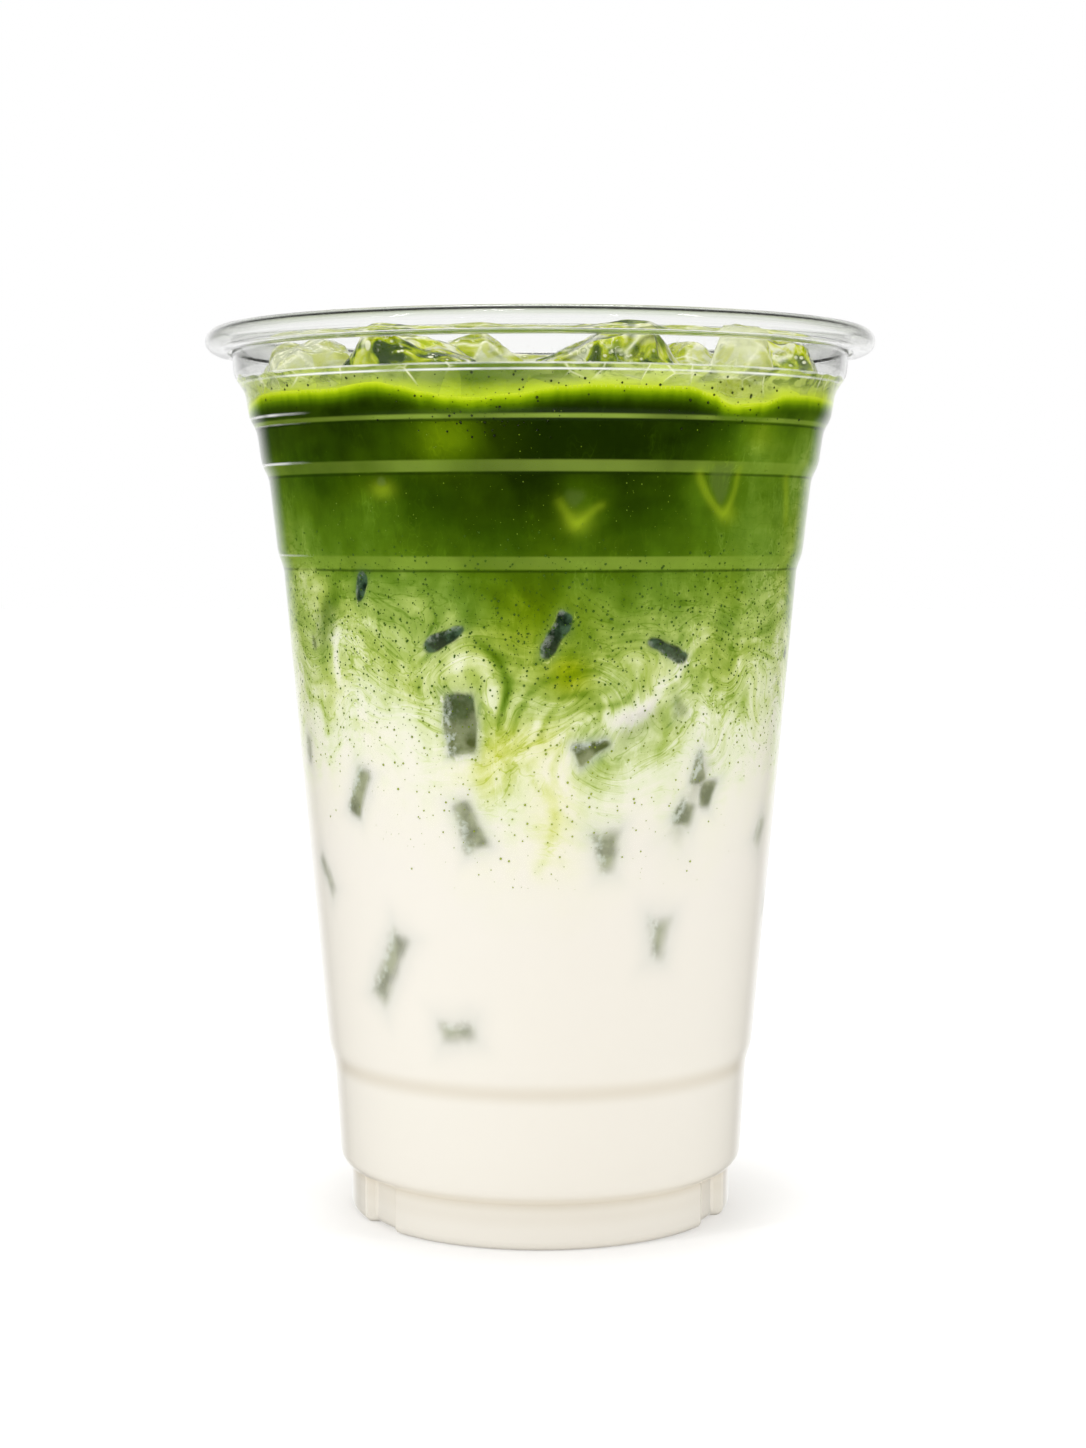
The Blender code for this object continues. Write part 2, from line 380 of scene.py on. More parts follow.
def pressFlutes(radii, heights, turns):
    foot = (heights < cup["footHeight"] + cup["wall"]) & (radii > (cup["ringInner"] + cup["footRadius"]) / 2)
    return radii - foot * fluteShare(turns) * cup["fluteDepth"]


def turnedMesh(name, radii, heights, turns):
    # rows by columns, in mm; a row with no radius is a single point on the axis
    points, rows = [], []
    for rowRadii, rowHeights in zip(radii, heights):
        if np.max(rowRadii) < 1e-6:
            rows.append([len(points)] * len(turns))
            points.append((0.0, 0.0, float(np.mean(rowHeights)) * mm))
            continue
        rows.append(range(len(points), len(points) + len(turns)))
        x, y = rowRadii * np.sin(turns), -rowRadii * np.cos(turns)
        points += (np.column_stack((x, y, rowHeights)) * mm).tolist()
    faces = []
    count = len(turns)
    for low, high in zip(rows, rows[1:]):
        for j in range(count):
            k = (j + 1) % count
            face = (low[j], low[k], high[k], high[j])
            if low[j] == low[k]:
                face = (low[j], high[k], high[j])
            elif high[j] == high[k]:
                face = (low[j], low[k], high[j])
            faces.append(face)
    data = bpy.data.meshes.new(name)
    data.from_pydata(points, [], faces)
    return data


def addPiece(name, data, materials, replaces=(), sharp=35.0):
    for made in materials:
        data.materials.append(made)
    if sharp:
        data.shade_smooth()
        data.set_sharp_from_angle(angle=math.radians(sharp))
    piece = addObject(name, data)
    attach(piece, "root")
    if replaces:
        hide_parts(*replaces)
    return piece


def clearPlastic():
    made, tree, shader = newMaterial("clear_plastic", Roughness=0.03, IOR=1.4, Transmission_Weight=1.0)
    place = objectPlace(tree)
    wave = cloud(tree, place, 45.0, 1.0, 0.4, (1.0, 1.0, 0.35))  # faint waves left by the pressing
    bumpInto(tree, shader, wave, 0.0002, 0.35)
    scuff = threads(tree, place, 260.0, 0.012, (1.0, 1.0, 0.3))
    feed(tree, shader.inputs["Roughness"], smooth(tree, scuff, 0.0, 1.0, 0.02, 0.12))
    parts = addNode(tree, "ShaderNodeSeparateXYZ", {"Vector": place}).outputs
    low, high = (height * mm for height in cup["rollShade"])
    left, right = (x * mm for x in cup["edgeGlow"])
    # painted shade, in streaks round the top of the lip
    streaks = blots(tree, place, (40.0, 3.0, 0.6, (1.0, 1.0, 30.0)), 0.35, 0.6, 0.3, 1.0)
    rolled = times(tree, smooth(tree, parts["Z"], low, high), streaks)
    feed(tree, shader.inputs["Base Color"], mixColour(tree, rolled, cup["colour"], cup["rollShadeColour"]))
    # painted highlights: thin white, less clear lines of plastic along the ledges, stronger at the left edge
    broken = blots(tree, place, (60.0, 3.0, 0.6, (1.0, 1.0, 0.2)), 0.36, 0.6, 0.25, 1.0)
    clear = 1.0
    for height, reach, share, edgeShare in cup["ledgeHighlightLines"]:
        line = smooth(tree, apartFrom(tree, parts["Z"], height * mm), 0.0, reach * mm, 1.0, 0.0)
        turned = smooth(tree, parts["X"], left, right, edgeShare, share)
        clear = calc(tree, "SUBTRACT", clear, times(tree, line, turned, broken), clamp=True)
    feed(tree, shader.inputs["Transmission Weight"], clear)
    return made


def makeCup():
    outside = cupOutside()
    profile = np.array(outside + inset(outside, cup["wall"])[::-1])
    turns = columns(60, 2, 8)
    radii = np.repeat(profile[:, :1], len(turns), axis=1)
    heights = np.repeat(profile[:, 1:], len(turns), axis=1)
    data = turnedMesh("cup_shell", pressFlutes(radii, heights, turns), heights, turns)
    piece = addPiece("cup_shell", data, [clearPlastic()], ["cup"])
    piece.visible_shadow = piece.visible_diffuse = False


makeCup()
print("cup made")


# The drink's colours on its wall: tea by height, stirred by twirls, with pools, glows and sunk ice

drink = {
    "intoWall": 0.2, "iceOverlap": 0.15, "milkTop": 71.5, "blendTop": 93.0, "matchaTop": 119.2,
    "swirlHeight": 4.0, "swirlLength": 24.0, "milkSwirl": 2.7, "blendSwirl": 8.1,
    "frothHeight": 0.8, "frothLength": 35.0, "frothCrest": -22.0,
    "rowStep": 0.36, "lobeSteps": 168, "edgeSteps": 3, "fluteSteps": 22,
    "footRows": 12.0, "swirlReach": 7.0,  # how high the foot's own rows go, and a swirl's reach
    # strength of the tea, 0 milk to 1 matcha, by height in mm in front
    "tea": ((44, 0.0), (52, 0.03), (57, 0.07), (61, 0.1), (64.6, 0.13), (67.3, 0.17), (70, 0.22),
            (72.7, 0.27), (76, 0.33), (80, 0.42), (84, 0.49), (88, 0.58), (91.5, 0.68), (95, 0.77),
            (99, 0.83), (103, 0.9), (107, 0.94), (112, 0.97), (119.5, 1.0)),
    # how far the milk reaches up round the cup: turn in degrees, mm
    "shores": ((-180, 2), (-140, 8), (-110, 3), (-80, 10), (-60, 12), (-45, 11), (-31, 10), (-24, 7),
               (-17, 3), (-10, 0), (0, 0), (10, 0.5), (17, 3), (24, 5.5), (31, 4), (40, 5), (52, 9),
               (66, 10), (90, 6), (130, 9), (180, 2)),
    "shoreHeights": (86.0, 96.0), "shoreShare": 0.25,  # the milk's reach weakens between these heights
    "stirred": (78.0, 15.0),  # the height where the layers mix most, and how far from it they still do
    "sway": 1.0, "drift": 1.0, "wobble": 0.7, "fine": 0.022, "streak": 0.03,
    "streakMore": 0.1, "streakSpot": (50.0, 79.0, 9.0, 7.0),
    # turn in degrees and height of the middle, reach in mm, degrees of stirring
    "twirls": (
        (11.0, 72.5, 7.0, 150.0),
        (-21.0, 80.0, 5.0, -110.0),
        (23.0, 82.5, 4.5, 80.0),
        (-4.0, 86.0, 4.0, 60.0),
        (-40.0, 76.0, 5.0, 80.0),
        (46.0, 77.0, 5.0, -60.0),
    ),
    "twirlSeed": 5, "moreTwirls": 14,
    "layering": (9.0, 77.0, 11.0, 8.0, 0.05, 1.7),  # turn, height, reach across and up, strength, spacing
    # strands: added tea, width in mm, and the turn and height of points along each
    "strands": (
        (0.22, 0.6, ((-14.2, 86.5), (-10.1, 84.5), (-7.5, 82.2), (-7.1, 79.3), (-8.8, 75.5), (-9.6, 72.9))),
        (0.12, 0.5, ((-3.8, 83.3), (-6.1, 81.0), (-6.9, 78.7), (-8.3, 76.4))),
        (0.16, 0.55, ((16.9, 80.1), (12.2, 78.8), (6.2, 78.9), (2.5, 76.7), (0.7, 74.4), (-0.2, 72.1))),
        (0.14, 0.5, ((21.2, 81.2), (20.4, 78.9), (18.0, 77.5), (13.7, 77.2), (9.0, 76.6))),
        (0.12, 0.5, ((-0.2, 80.8), (-3.0, 78.7), (-5.3, 75.5), (-5.8, 73.2))),
        (0.1, 0.5, ((14.0, 82.6), (8.0, 81.4), (2.0, 81.0), (-2.0, 79.0), (-4.4, 75.8))),
        (-0.26, 1.4, ((28.1, 85.0), (27.9, 80.5), (25.5, 77.6), (20.6, 75.4), (12.3, 75.3))),
        (-0.2, 1.5, ((-19.6, 82.6), (-15.3, 84.0), (-11.4, 82.2), (-10.0, 79.3), (-11.0, 76.0))),
        (-0.12, 0.7, ((9.0, 77.9), (3.4, 77.6), (-0.2, 75.6), (-2.1, 72.9))),
        (-0.14, 0.9, ((30.9, 84.8), (31.5, 79.0))),
        (0.08, 0.4, ((-11.9, 74.3), (-11.0, 72.0), (-8.7, 70.3), (-6.4, 68.6))),
        (0.09, 0.35, ((-3.0, 69.2), (-1.2, 66.8), (-0.7, 65.7))),
        (0.09, 0.9, ((1.0, 67.0), (3.1, 63.9), (3.4, 60.4), (1.6, 56.5), (-2.0, 54.0))),
        (0.06, 1.4, ((-16.0, 70.0), (-15.1, 66.7), (-11.2, 65.9), (-6.0, 66.5))),
        (0.06, 0.6, ((29.6, 75.0), (28.2, 71.1), (25.2, 68.3))),
        (0.1, 0.5, ((3.5, 70.0), (5.4, 72.1), (9.1, 74.4), (13.3, 75.5))),
        (0.16, 1.6, ((-44.0, 95.0), (-52.0, 91.0), (-56.0, 86.0), (-57.0, 80.0))),
        (-0.2, 1.0, ((-49.0, 88.0), (-52.0, 83.5), (-50.0, 79.0))),
    ),
    # turn, height, reach across, reach up in mm, added tea
    "pools": (
        (4.0, 112.8, 13.0, 4.0, 0.08), (-17.0, 113.5, 4.0, 3.8, -0.25), (-28.0, 113.0, 4.5, 3.8, -0.06),
        (46.0, 113.0, 6.0, 5.0, -0.25), (68.0, 112.0, 9.0, 6.0, -0.28), (9.0, 105.0, 4.0, 4.0, -0.15),
        (-66.0, 103.0, 9.0, 12.0, -0.15), (-36.0, 104.5, 5.0, 4.0, -0.1), (-44.0, 100.0, 8.0, 3.0, -0.04),
        (48.0, 103.0, 8.0, 7.0, -0.17), (72.0, 103.0, 8.0, 10.0, -0.28), (33.0, 106.5, 3.0, 4.0, -0.12),
        (-2.0, 92.5, 8.0, 3.0, 0.06), (-3.0, 88.0, 4.0, 4.0, 0.08), (7.0, 84.5, 4.0, 3.0, 0.08),
        (56.0, 84.5, 7.0, 5.0, 0.18), (58.0, 77.5, 8.0, 5.0, 0.12), (41.0, 78.0, 5.0, 6.0, 0.06),
        (-54.0, 79.0, 7.0, 6.0, 0.08), (6.0, 79.0, 8.0, 5.0, 0.1), (-3.0, 80.0, 5.0, 5.0, 0.06),
        (8.0, 105.5, 12.0, 5.0, 0.06), (2.0, 116.0, 8.0, 2.5, 0.1),
        (-22.0, 95.0, 5.0, 2.5, -0.06), (58.0, 93.0, 8.0, 6.0, -0.1), (-62.0, 95.0, 8.0, 5.0, -0.12),
    ),
    "poolSeed": 11, "morePools": 26,
    "ledgeLightBands": ((95.6, 97.5, 0.55), (108.7, 110.4, 0.5), (115.7, 116.45, 0.75)),  # painted light at the pressed ledges: low and high edge, strength
    # patches of yellower tea: turn, height, reach across, reach up, strength
    "warmth": ((6.5, 81.5, 3.2, 3.0, 1.0), (-3.0, 89.0, 6.5, 5.0, 0.75), (3.0, 62.0, 3.5, 9.0, 0.9),
               (-13.5, 68.0, 5.0, 4.0, 0.8), (-17.0, 113.5, 6.0, 4.5, 0.8), (-4.0, 72.0, 6.0, 3.0, 0.6),
               (47.0, 114.0, 3.5, 2.5, 0.5)),
    # bright yellow-green light round the ice: turn, height, reach across, reach up, strength
    "glows": ((7.6, 102.0, 1.8, 1.5, 0.35), (41.0, 103.2, 1.6, 1.4, 0.35), (-32.7, 106.5, 1.8, 1.2, 0.45)),
    # and along its edges: strength, width, turn and height of points
    "glowLines": (
        (0.28, 0.7, ((3.4, 105.4), (4.6, 103.9), (6.0, 102.4), (7.4, 100.9))),
        (0.3, 0.6, ((7.0, 101.5), (8.9, 102.7), (10.6, 103.8), (13.0, 104.6))),
        (0.42, 0.6, ((32.2, 109.4), (34.0, 106.7), (37.2, 104.2), (40.1, 102.8))),
        (0.32, 0.5, ((39.9, 103.0), (41.8, 105.1), (42.8, 107.6), (42.6, 110.0))),
        (0.36, 0.9, ((59.6, 109.0), (61.0, 106.6), (61.7, 104.8), (62.8, 101.5))),
    ),
    # the drink's top along the wall in front: turn in degrees, height in mm
    "tide": ((-73.0, 119.8), (-58.0, 120.2), (-43.0, 120.1), (-31.0, 120.8), (-26.0, 120.2), (-21.0, 119.3),
             (-16.5, 118.7), (-12.0, 118.5), (-4.0, 119.0), (3.5, 119.9), (9.5, 120.2), (18.0, 120.1),
             (27.5, 120.1), (32.0, 119.3), (37.5, 117.9), (45.0, 118.3), (52.5, 119.6), (62.0, 119.7),
             (75.0, 119.5)),
    "tideRadius": 42.6, "tideEnd": (82.0, 16.0),  # the tide in front fades into the plain top by this turn
    # colours as seen, by strength of tea from 0 to 1: plain and yellower tea, and the froth's fringe by depth
    "plainTea": ((0.0, 242, 237, 227), (0.06, 241, 238, 221), (0.14, 231, 235, 202), (0.25, 208, 219, 156),
                 (0.38, 170, 190, 98), (0.5, 136, 162, 66), (0.62, 106, 138, 40), (0.74, 78, 110, 14),
                 (0.87, 48, 74, 2), (1.0, 22, 38, 0)),
    "warmTea": ((0.0, 242, 237, 226), (0.06, 240, 237, 208), (0.14, 229, 231, 168), (0.25, 208, 214, 112),
                (0.38, 180, 192, 52), (0.5, 152, 168, 20), (0.62, 128, 150, 8), (0.74, 106, 132, 2),
                (0.87, 78, 102, 0), (1.0, 44, 62, 0)),
    "fringe": ((0.0, 202, 220, 48), (0.1, 176, 202, 18), (0.2, 134, 166, 6), (0.34, 94, 128, 2),
               (0.52, 66, 96, 0), (0.8, 40, 62, 0)),
    "milkShades": ((20.8, 25.0, 0.34), (5.2, 8.6, 0.4), (2.6, 6.8, 0.12)),  # warm shade under the ledges
    "colours": {
        "ledgeLight": (142, 168, 62), "ledgeShade": (26, 44, 2), "milkShade": (204, 190, 164),
        "glow": (160, 184, 34), "insideDeep": (84, 112, 4), "insidePale": (150, 178, 26),
        # the sunk ice and the haze round it: low in the milk, high in the tea, and at the dark tea
        "hazeLow": (204, 207, 200), "hazeHigh": (104, 130, 84), "frost": (196, 204, 190),
        "iceLow": (84, 92, 46), "iceLowPale": (142, 148, 108), "iceHigh": (18, 34, 20),
        "iceHighPale": (66, 90, 66), "iceInTea": (92, 112, 48),
    },
}

# the ice that shows through the wall: turn, height, length, width at the top and foot, lean to the right
# of its top, softness of its edge, all in mm or degrees, and how clearly it shows
sunkIce = (
    (-41.0, 93.2, 4.6, 2.0, 1.5, 22, 0.16, 1.0),
    (-54.4, 88.0, 7.5, 4.5, 4.5, 38, 0.9, 0.3),
    (-60.0, 85.2, 2.4, 1.0, 1.4, -20, 0.4, 0.6),
    (-20.9, 86.4, 7.0, 1.9, 2.7, 62, 0.16, 1.0),
    (3.3, 86.8, 6.8, 2.7, 1.9, 26, 0.16, 1.0),
    (28.4, 84.7, 6.8, 1.7, 2.5, -64, 0.18, 1.0),
    (-17.7, 74.7, 8.6, 5.0, 4.5, -3, 0.22, 1.0),
    (11.5, 71.4, 4.9, 1.0, 3.3, 66, 0.22, 1.0),
    (21.9, 74.8, 7.0, 2.0, 3.0, 55, 0.9, 0.25),
    (31.8, 77.0, 3.2, 0.8, 3.2, -20, 0.4, 0.4),
    (-46.5, 64.4, 6.8, 2.3, 2.3, 26, 0.3, 0.85),
    (-16.4, 60.7, 6.8, 1.9, 2.9, -22, 0.3, 0.8),
    (38.8, 68.3, 4.6, 0.6, 3.2, 0, 0.28, 0.85),
    (41.6, 64.5, 3.8, 2.7, 1.5, 12, 0.28, 0.85),
    (35.5, 61.9, 3.8, 2.6, 2.8, 24, 0.28, 0.8),
    (36.7, 63.9, 11.5, 1.6, 1.4, 26, 0.7, 0.35),
    (15.3, 57.1, 5.3, 3.6, 0.9, -5, 0.4, 0.75),
    (-69.9, 69.6, 3.8, 2.2, 2.0, 10, 0.4, 0.5),
    (66.6, 57.9, 4.2, 1.4, 2.4, 35, 0.45, 0.5),
    (-64.7, 51.6, 6.0, 1.2, 1.8, -42, 0.4, 0.5),
    (78.3, 46.2, 2.6, 1.6, 1.6, 0, 0.4, 0.35),
    (-40.3, 39.9, 10.8, 2.3, 2.4, 31, 0.5, 0.7),
    (29.7, 44.6, 5.0, 2.6, 0.9, 4, 0.5, 0.7),
    (-20.9, 31.6, 5.2, 1.2, 1.7, 84, 0.5, 0.65),
    (-33.0, 107.5, 1.4, 1.5, 0.9, 50, 0.25, 0.6),
    (6.8, 104.9, 2.8, 3.4, 0.6, 4, 0.4, 0.4),
    (38.2, 107.2, 5.4, 5.0, 1.2, -3, 0.4, 0.55),
    (74.9, 83.2, 1.3, 1.6, 1.8, 0, 0.2, 0.8),
)
moreSunkIce = {"seed": 21, "count": 26, "turns": (88.0, 272.0), "heights": (30.0, 96.0)}


def waves(seed, shortest, longest, count=24):  # a smooth random field about 0, of crossing waves
    draw = np.random.default_rng(seed)
    ways = draw.normal(size=(count, 3))
    ways *= (math.tau / draw.uniform(shortest, longest, count) / np.linalg.norm(ways, axis=1))[:, None]
    starts = draw.uniform(0, math.tau, count)
    return lambda places: np.sin(places @ ways.T + starts).sum(axis=1) / math.sqrt(count / 2)


def wrap(turns):  # to -180 to 180 degrees
    return (turns + 180.0) % 360.0 - 180.0


def onWall(turns, heights):  # places in mm on a plain cylinder, so that fields close round the cup
    angles = np.radians(turns)
    return np.column_stack((wallArc * np.sin(angles), -wallArc * np.cos(angles), heights))


def offset(turns, heights, turn, height):  # mm across and up from a place on the wall
    return np.radians(wrap(turns - turn)) * wallArc, heights - height


def bell(turns, heights, turn, height, across, up):
    dx, dz = offset(turns, heights, turn, height)
    return np.exp(-((dx / across) ** 2) - (dz / up) ** 2)


def bells(turns, heights, spots):  # added up, each with its strength last
    return sum(strength * bell(turns, heights, *spot) for *spot, strength in spots)


def allTwirls():
    draw = np.random.default_rng(drink["twirlSeed"])
    more = []
    for i in range(drink["moreTwirls"]):
        turn = 70.0 + 220.0 * (i + draw.uniform(0, 0.8)) / drink["moreTwirls"]
        height, reach = draw.uniform(70, 87), draw.uniform(4.0, 7.0)
        more.append((turn, height, reach, draw.choice((-1, 1)) * draw.uniform(70, 170)))
    return list(drink["twirls"]) + more


def allPools():
    draw = np.random.default_rng(drink["poolSeed"])
    ranges = ((80, 280), (98, 115), (4, 11), (3, 7), (-0.22, 0.12))
    more = [[draw.uniform(*ends) for ends in ranges] for i in range(drink["morePools"])]
    return list(drink["pools"]) + more


def allSunkIce():
    more, draw = [], np.random.default_rng(moreSunkIce["seed"])
    first, last = moreSunkIce["turns"]
    for i in range(moreSunkIce["count"]):
        turn = first + (last - first) * (i + draw.uniform(0.1, 0.9)) / moreSunkIce["count"]
        height = draw.uniform(*moreSunkIce["heights"])
        length = draw.uniform(3.5, 8.5)
        widths = draw.uniform(0.8, 3.6), draw.uniform(0.8, 3.6)
        soft = 0.18 + 0.35 * max(0.0, 80.0 - height) / 50.0
        more.append((turn, height, length, *widths, draw.uniform(-80, 80), soft, draw.uniform(0.6, 1.0)))
    return list(sunkIce) + more


def eased(value, marks):  # through the marks in soft steps
    places, levels = np.array(marks, float).T
    value = np.clip(value, places[0], places[-1])
    i = np.clip(np.searchsorted(places, value) - 1, 0, len(places) - 2)
    t = (value - places[i]) / (places[i + 1] - places[i])
    return levels[i] + (levels[i + 1] - levels[i]) * t * t * (3 - 2 * t)


def andBehind(lines):  # those in front, and the same again behind, turned by half
    more = []
    for share, width, path in lines:
        more.append((share, width, [(turn + 180.0, height + 1.5) for turn, height in path]))
    return [*lines, *more]


def alongLines(turns, heights, lines):
    added = np.zeros_like(heights)
    for tea, width, path in andBehind(lines):
        points = np.array([(math.radians(turn) * wallArc, height) for turn, height in path])
        for _ in range(2):  # corners cut twice
            cuts = [[0.75 * a + 0.25 * b, 0.25 * a + 0.75 * b] for a, b in zip(points, points[1:])]
            points = np.concatenate((points[:1], *cuts, points[-1:]))
        middle = points.mean(axis=0)
        dx, dz = offset(turns, heights, math.degrees(middle[0] / wallArc), middle[1])
        near = (np.abs(dx) < 14.0) & (np.abs(dz) < 14.0)
        spots = np.column_stack((dx[near], dz[near])) + middle
        apart = np.full(len(spots), 99.0)
        share = np.zeros(len(spots))
        for i, (start, end) in enumerate(zip(points, points[1:])):
            side = end - start
            t = np.clip((spots - start) @ side / (side @ side), 0.0, 1.0)
            reach = np.linalg.norm(spots - start - t[:, None] * side, axis=1)
            closer = reach < apart
            apart[closer] = reach[closer]
            share[closer] = (i + t[closer]) / (len(points) - 1)
        taper = np.clip(4.0 * share * (1.0 - share) + 0.15, 0.0, 1.0)
        added[near] += tea * taper * np.exp(-((apart / width) ** 2))
    return added


fields = {
    "drift": waves(1, 26, 60), "wobble": waves(2, 8, 18), "fine": waves(3, 2.5, 6, 32),
    "streak": waves(4, 3, 9, 32), "ragged": waves(6, 1.2, 3.0, 32),
    "sideways": waves(7, 7, 16), "upward": waves(8, 7, 16),
}


def teaFields(turns, heights):
    # strength of tea, warmth, glow, sunk ice and its halo at each place on the wall
    turns = np.asarray(turns, float)
    heights = np.asarray(heights, float)
    places = onWall(turns, heights)
    middle, reach = drink["stirred"]
    stirred = np.exp(-(((heights - middle) / reach) ** 4))
    across = np.radians(turns) * wallArc + drink["sway"] * fields["sideways"](places) * stirred
    up = heights + drink["sway"] * fields["upward"](places) * stirred
    for turn, height, reach, stir in allTwirls():
        dx, dz = offset(np.degrees(across / wallArc), up, turn, height)
        angle = math.radians(stir) * np.exp(-(dx ** 2 + dz ** 2) / reach ** 2)
        across = across + (np.cos(angle) - 1) * dx - np.sin(angle) * dz
        up = up + np.sin(angle) * dx + (np.cos(angle) - 1) * dz
    source = onWall(np.degrees(across / wallArc), up)
    weaker = np.interp(heights, drink["shoreHeights"], (1.0, drink["shoreShare"]))
    level = up - eased(wrap(turns), drink["shores"]) * weaker
    wander = drink["drift"] * fields["drift"](source) + drink["wobble"] * fields["wobble"](source)
    tea = np.interp(level + wander * stirred, *zip(*drink["tea"]))
    mixed = np.clip(tea / 0.15, 0.0, 1.0) * np.clip((0.9 - tea) / 0.3, 0.3, 1.0)
    tea = tea + drink["fine"] * fields["fine"](source * (1.0, 1.0, 1.6)) * mixed
    streaky = drink["streak"] + drink["streakMore"] * bell(turns, heights, *drink["streakSpot"])
    tea = tea + streaky * fields["streak"](places * (1.0, 1.0, 0.22)) * mixed
    *spot, strength, spacing = drink["layering"]
    layers = np.sin(math.tau * (up + 0.6 * fields["fine"](source)) / spacing)
    tea = tea + strength * layers * bell(turns, heights, *spot)
    tea = tea + alongLines(turns, heights, drink["strands"]) + bells(turns, heights, allPools())
    warmth = 0.05 + 0.08 * fields["wobble"](source + 40.0) + bells(turns, heights, drink["warmth"])
    glow = bells(turns, heights, drink["glows"]) + alongLines(turns, heights, drink["glowLines"])
    ice, halo, rime = np.zeros_like(tea), np.zeros_like(tea), np.zeros_like(tea)
    for turn, height, length, topWidth, footWidth, lean, soft, shown in allSunkIce():
        low = min(1.0, max(0.0, (72.0 - height) / 8.0))  # the milk hides the edges of the ice that lies low
        soft = 1.2 * soft * (1.0 + low)
        topWidth, footWidth = topWidth + 0.6 * low, footWidth + 0.6 * low
        dx, dz = offset(turns, heights, turn, height)
        near = (np.abs(dx) < length + 4.0) & (np.abs(dz) < length + 4.0)
        if not near.any():
            continue
        dx, dz = dx[near], dz[near]
        c, s = math.cos(math.radians(lean)), math.sin(math.radians(lean))
        side, along = dx * c - dz * s, dx * s + dz * c
        half = (topWidth + footWidth) / 4 + (topWidth - footWidth) / 2 * np.clip(along / length, -0.6, 0.6)
        leaf = 0.4 * min(1.0, max(0.0, (height - 72.0) / 10.0))  # the ice high up narrows at both ends
        half = half * (1.0 - leaf * np.clip(2 * along / length, -1.2, 1.2) ** 2)
        room = np.stack((half - np.abs(side), length / 2 - np.abs(along)))
        inside = -np.log(np.exp(-4.0 * room).sum(axis=0)) / 4.0 + 0.06 * fields["ragged"](places[near])
        inside = inside + 0.12 * fields["fine"](places[near])
        t = np.clip(0.5 + inside / (2 * soft), 0.0, 1.0)
        ice[near] = np.maximum(ice[near], shown * t * t * (3 - 2 * t))
        towardsLeft = 0.5 - 0.5 * np.clip(side / np.maximum(half, 0.3), -1, 1)
        rime[near] = np.where(inside > -soft, towardsLeft, rime[near])
        reach = 0.45 + 1.6 * soft
        halo[near] = np.maximum(halo[near], shown * np.exp(-((np.minimum(inside, 0.0) / reach) ** 2)))
    return {
        "tea": np.clip(tea, 0.0, 1.0), "warmth": np.clip(warmth, 0.0, 1.0),
        "glow": np.clip(glow, 0.0, 0.85),
        "sunk": ice, "halo": halo, "rime": rime, "froth": topHeight(turns) - heights, "flow": source * mm,
    }


def lift(seed, turns, radii):  # where one layer has sunk into the next
    length = drink["swirlLength"]
    x, y = radii * np.sin(turns), -radii * np.cos(turns)
    spots = zip(np.ravel(x), np.ravel(y))
    lifts = [drink["swirlHeight"] * noise.noise(Vector((a / length, b / length, seed))) for a, b in spots]
    return np.reshape(lifts, np.shape(x))


def froth(x, y):
    return drink["frothHeight"] * np.cos(math.tau * (x - drink["frothCrest"]) / drink["frothLength"])


def topHeight(turns):  # the drink's top along the wall
    radius = drink["tideRadius"]
    turns = wrap(turns)
    angles = np.radians(turns)
    wave = 0.35 * fields["wobble"](onWall(turns, np.full(np.shape(turns), 119.0)))
    plain = drink["matchaTop"] + froth(radius * np.sin(angles), -radius * np.cos(angles)) + wave
    last, fade = drink["tideEnd"]
    front = np.clip((last - np.abs(turns)) / fade, 0.0, 1.0)
    return plain + (eased(turns, drink["tide"]) - plain) * front


drinkPath = inset(cupOutside(), cup["wall"] - drink["intoWall"])
wallStart = 2 + 1 + cup["cornerSteps"]  # where the path starts to climb
wallPath = np.array([p for p in drinkPath[wallStart:] if p[1] < 126.0])


def wallRadius(heights):
    return np.interp(heights, wallPath[:, 1], wallPath[:, 0])


def setAttributes(data, values):
    for name, numbers in values.items():
        numbers = np.asarray(numbers, np.float32)
        wide = numbers.ndim > 1
        made = data.attributes.new(name, "FLOAT_VECTOR" if wide else "FLOAT", "POINT")
        made.data.foreach_set("vector" if wide else "value", numbers.ravel())


def addTeaFields(data):
    places = np.empty(len(data.vertices) * 3, np.float32)
    data.vertices.foreach_get("co", places)
    x, y, z = places.reshape(-1, 3).T / mm
    values = teaFields(np.degrees(np.arctan2(x, -y)), z)
    depth = wallRadius(z) - np.hypot(x, y)
    values["within"] = np.clip(depth / 3.0, 0.0, 1.0) * (z > drink["blendTop"])  # 0 at the wall, 1 inside
    setAttributes(data, values)


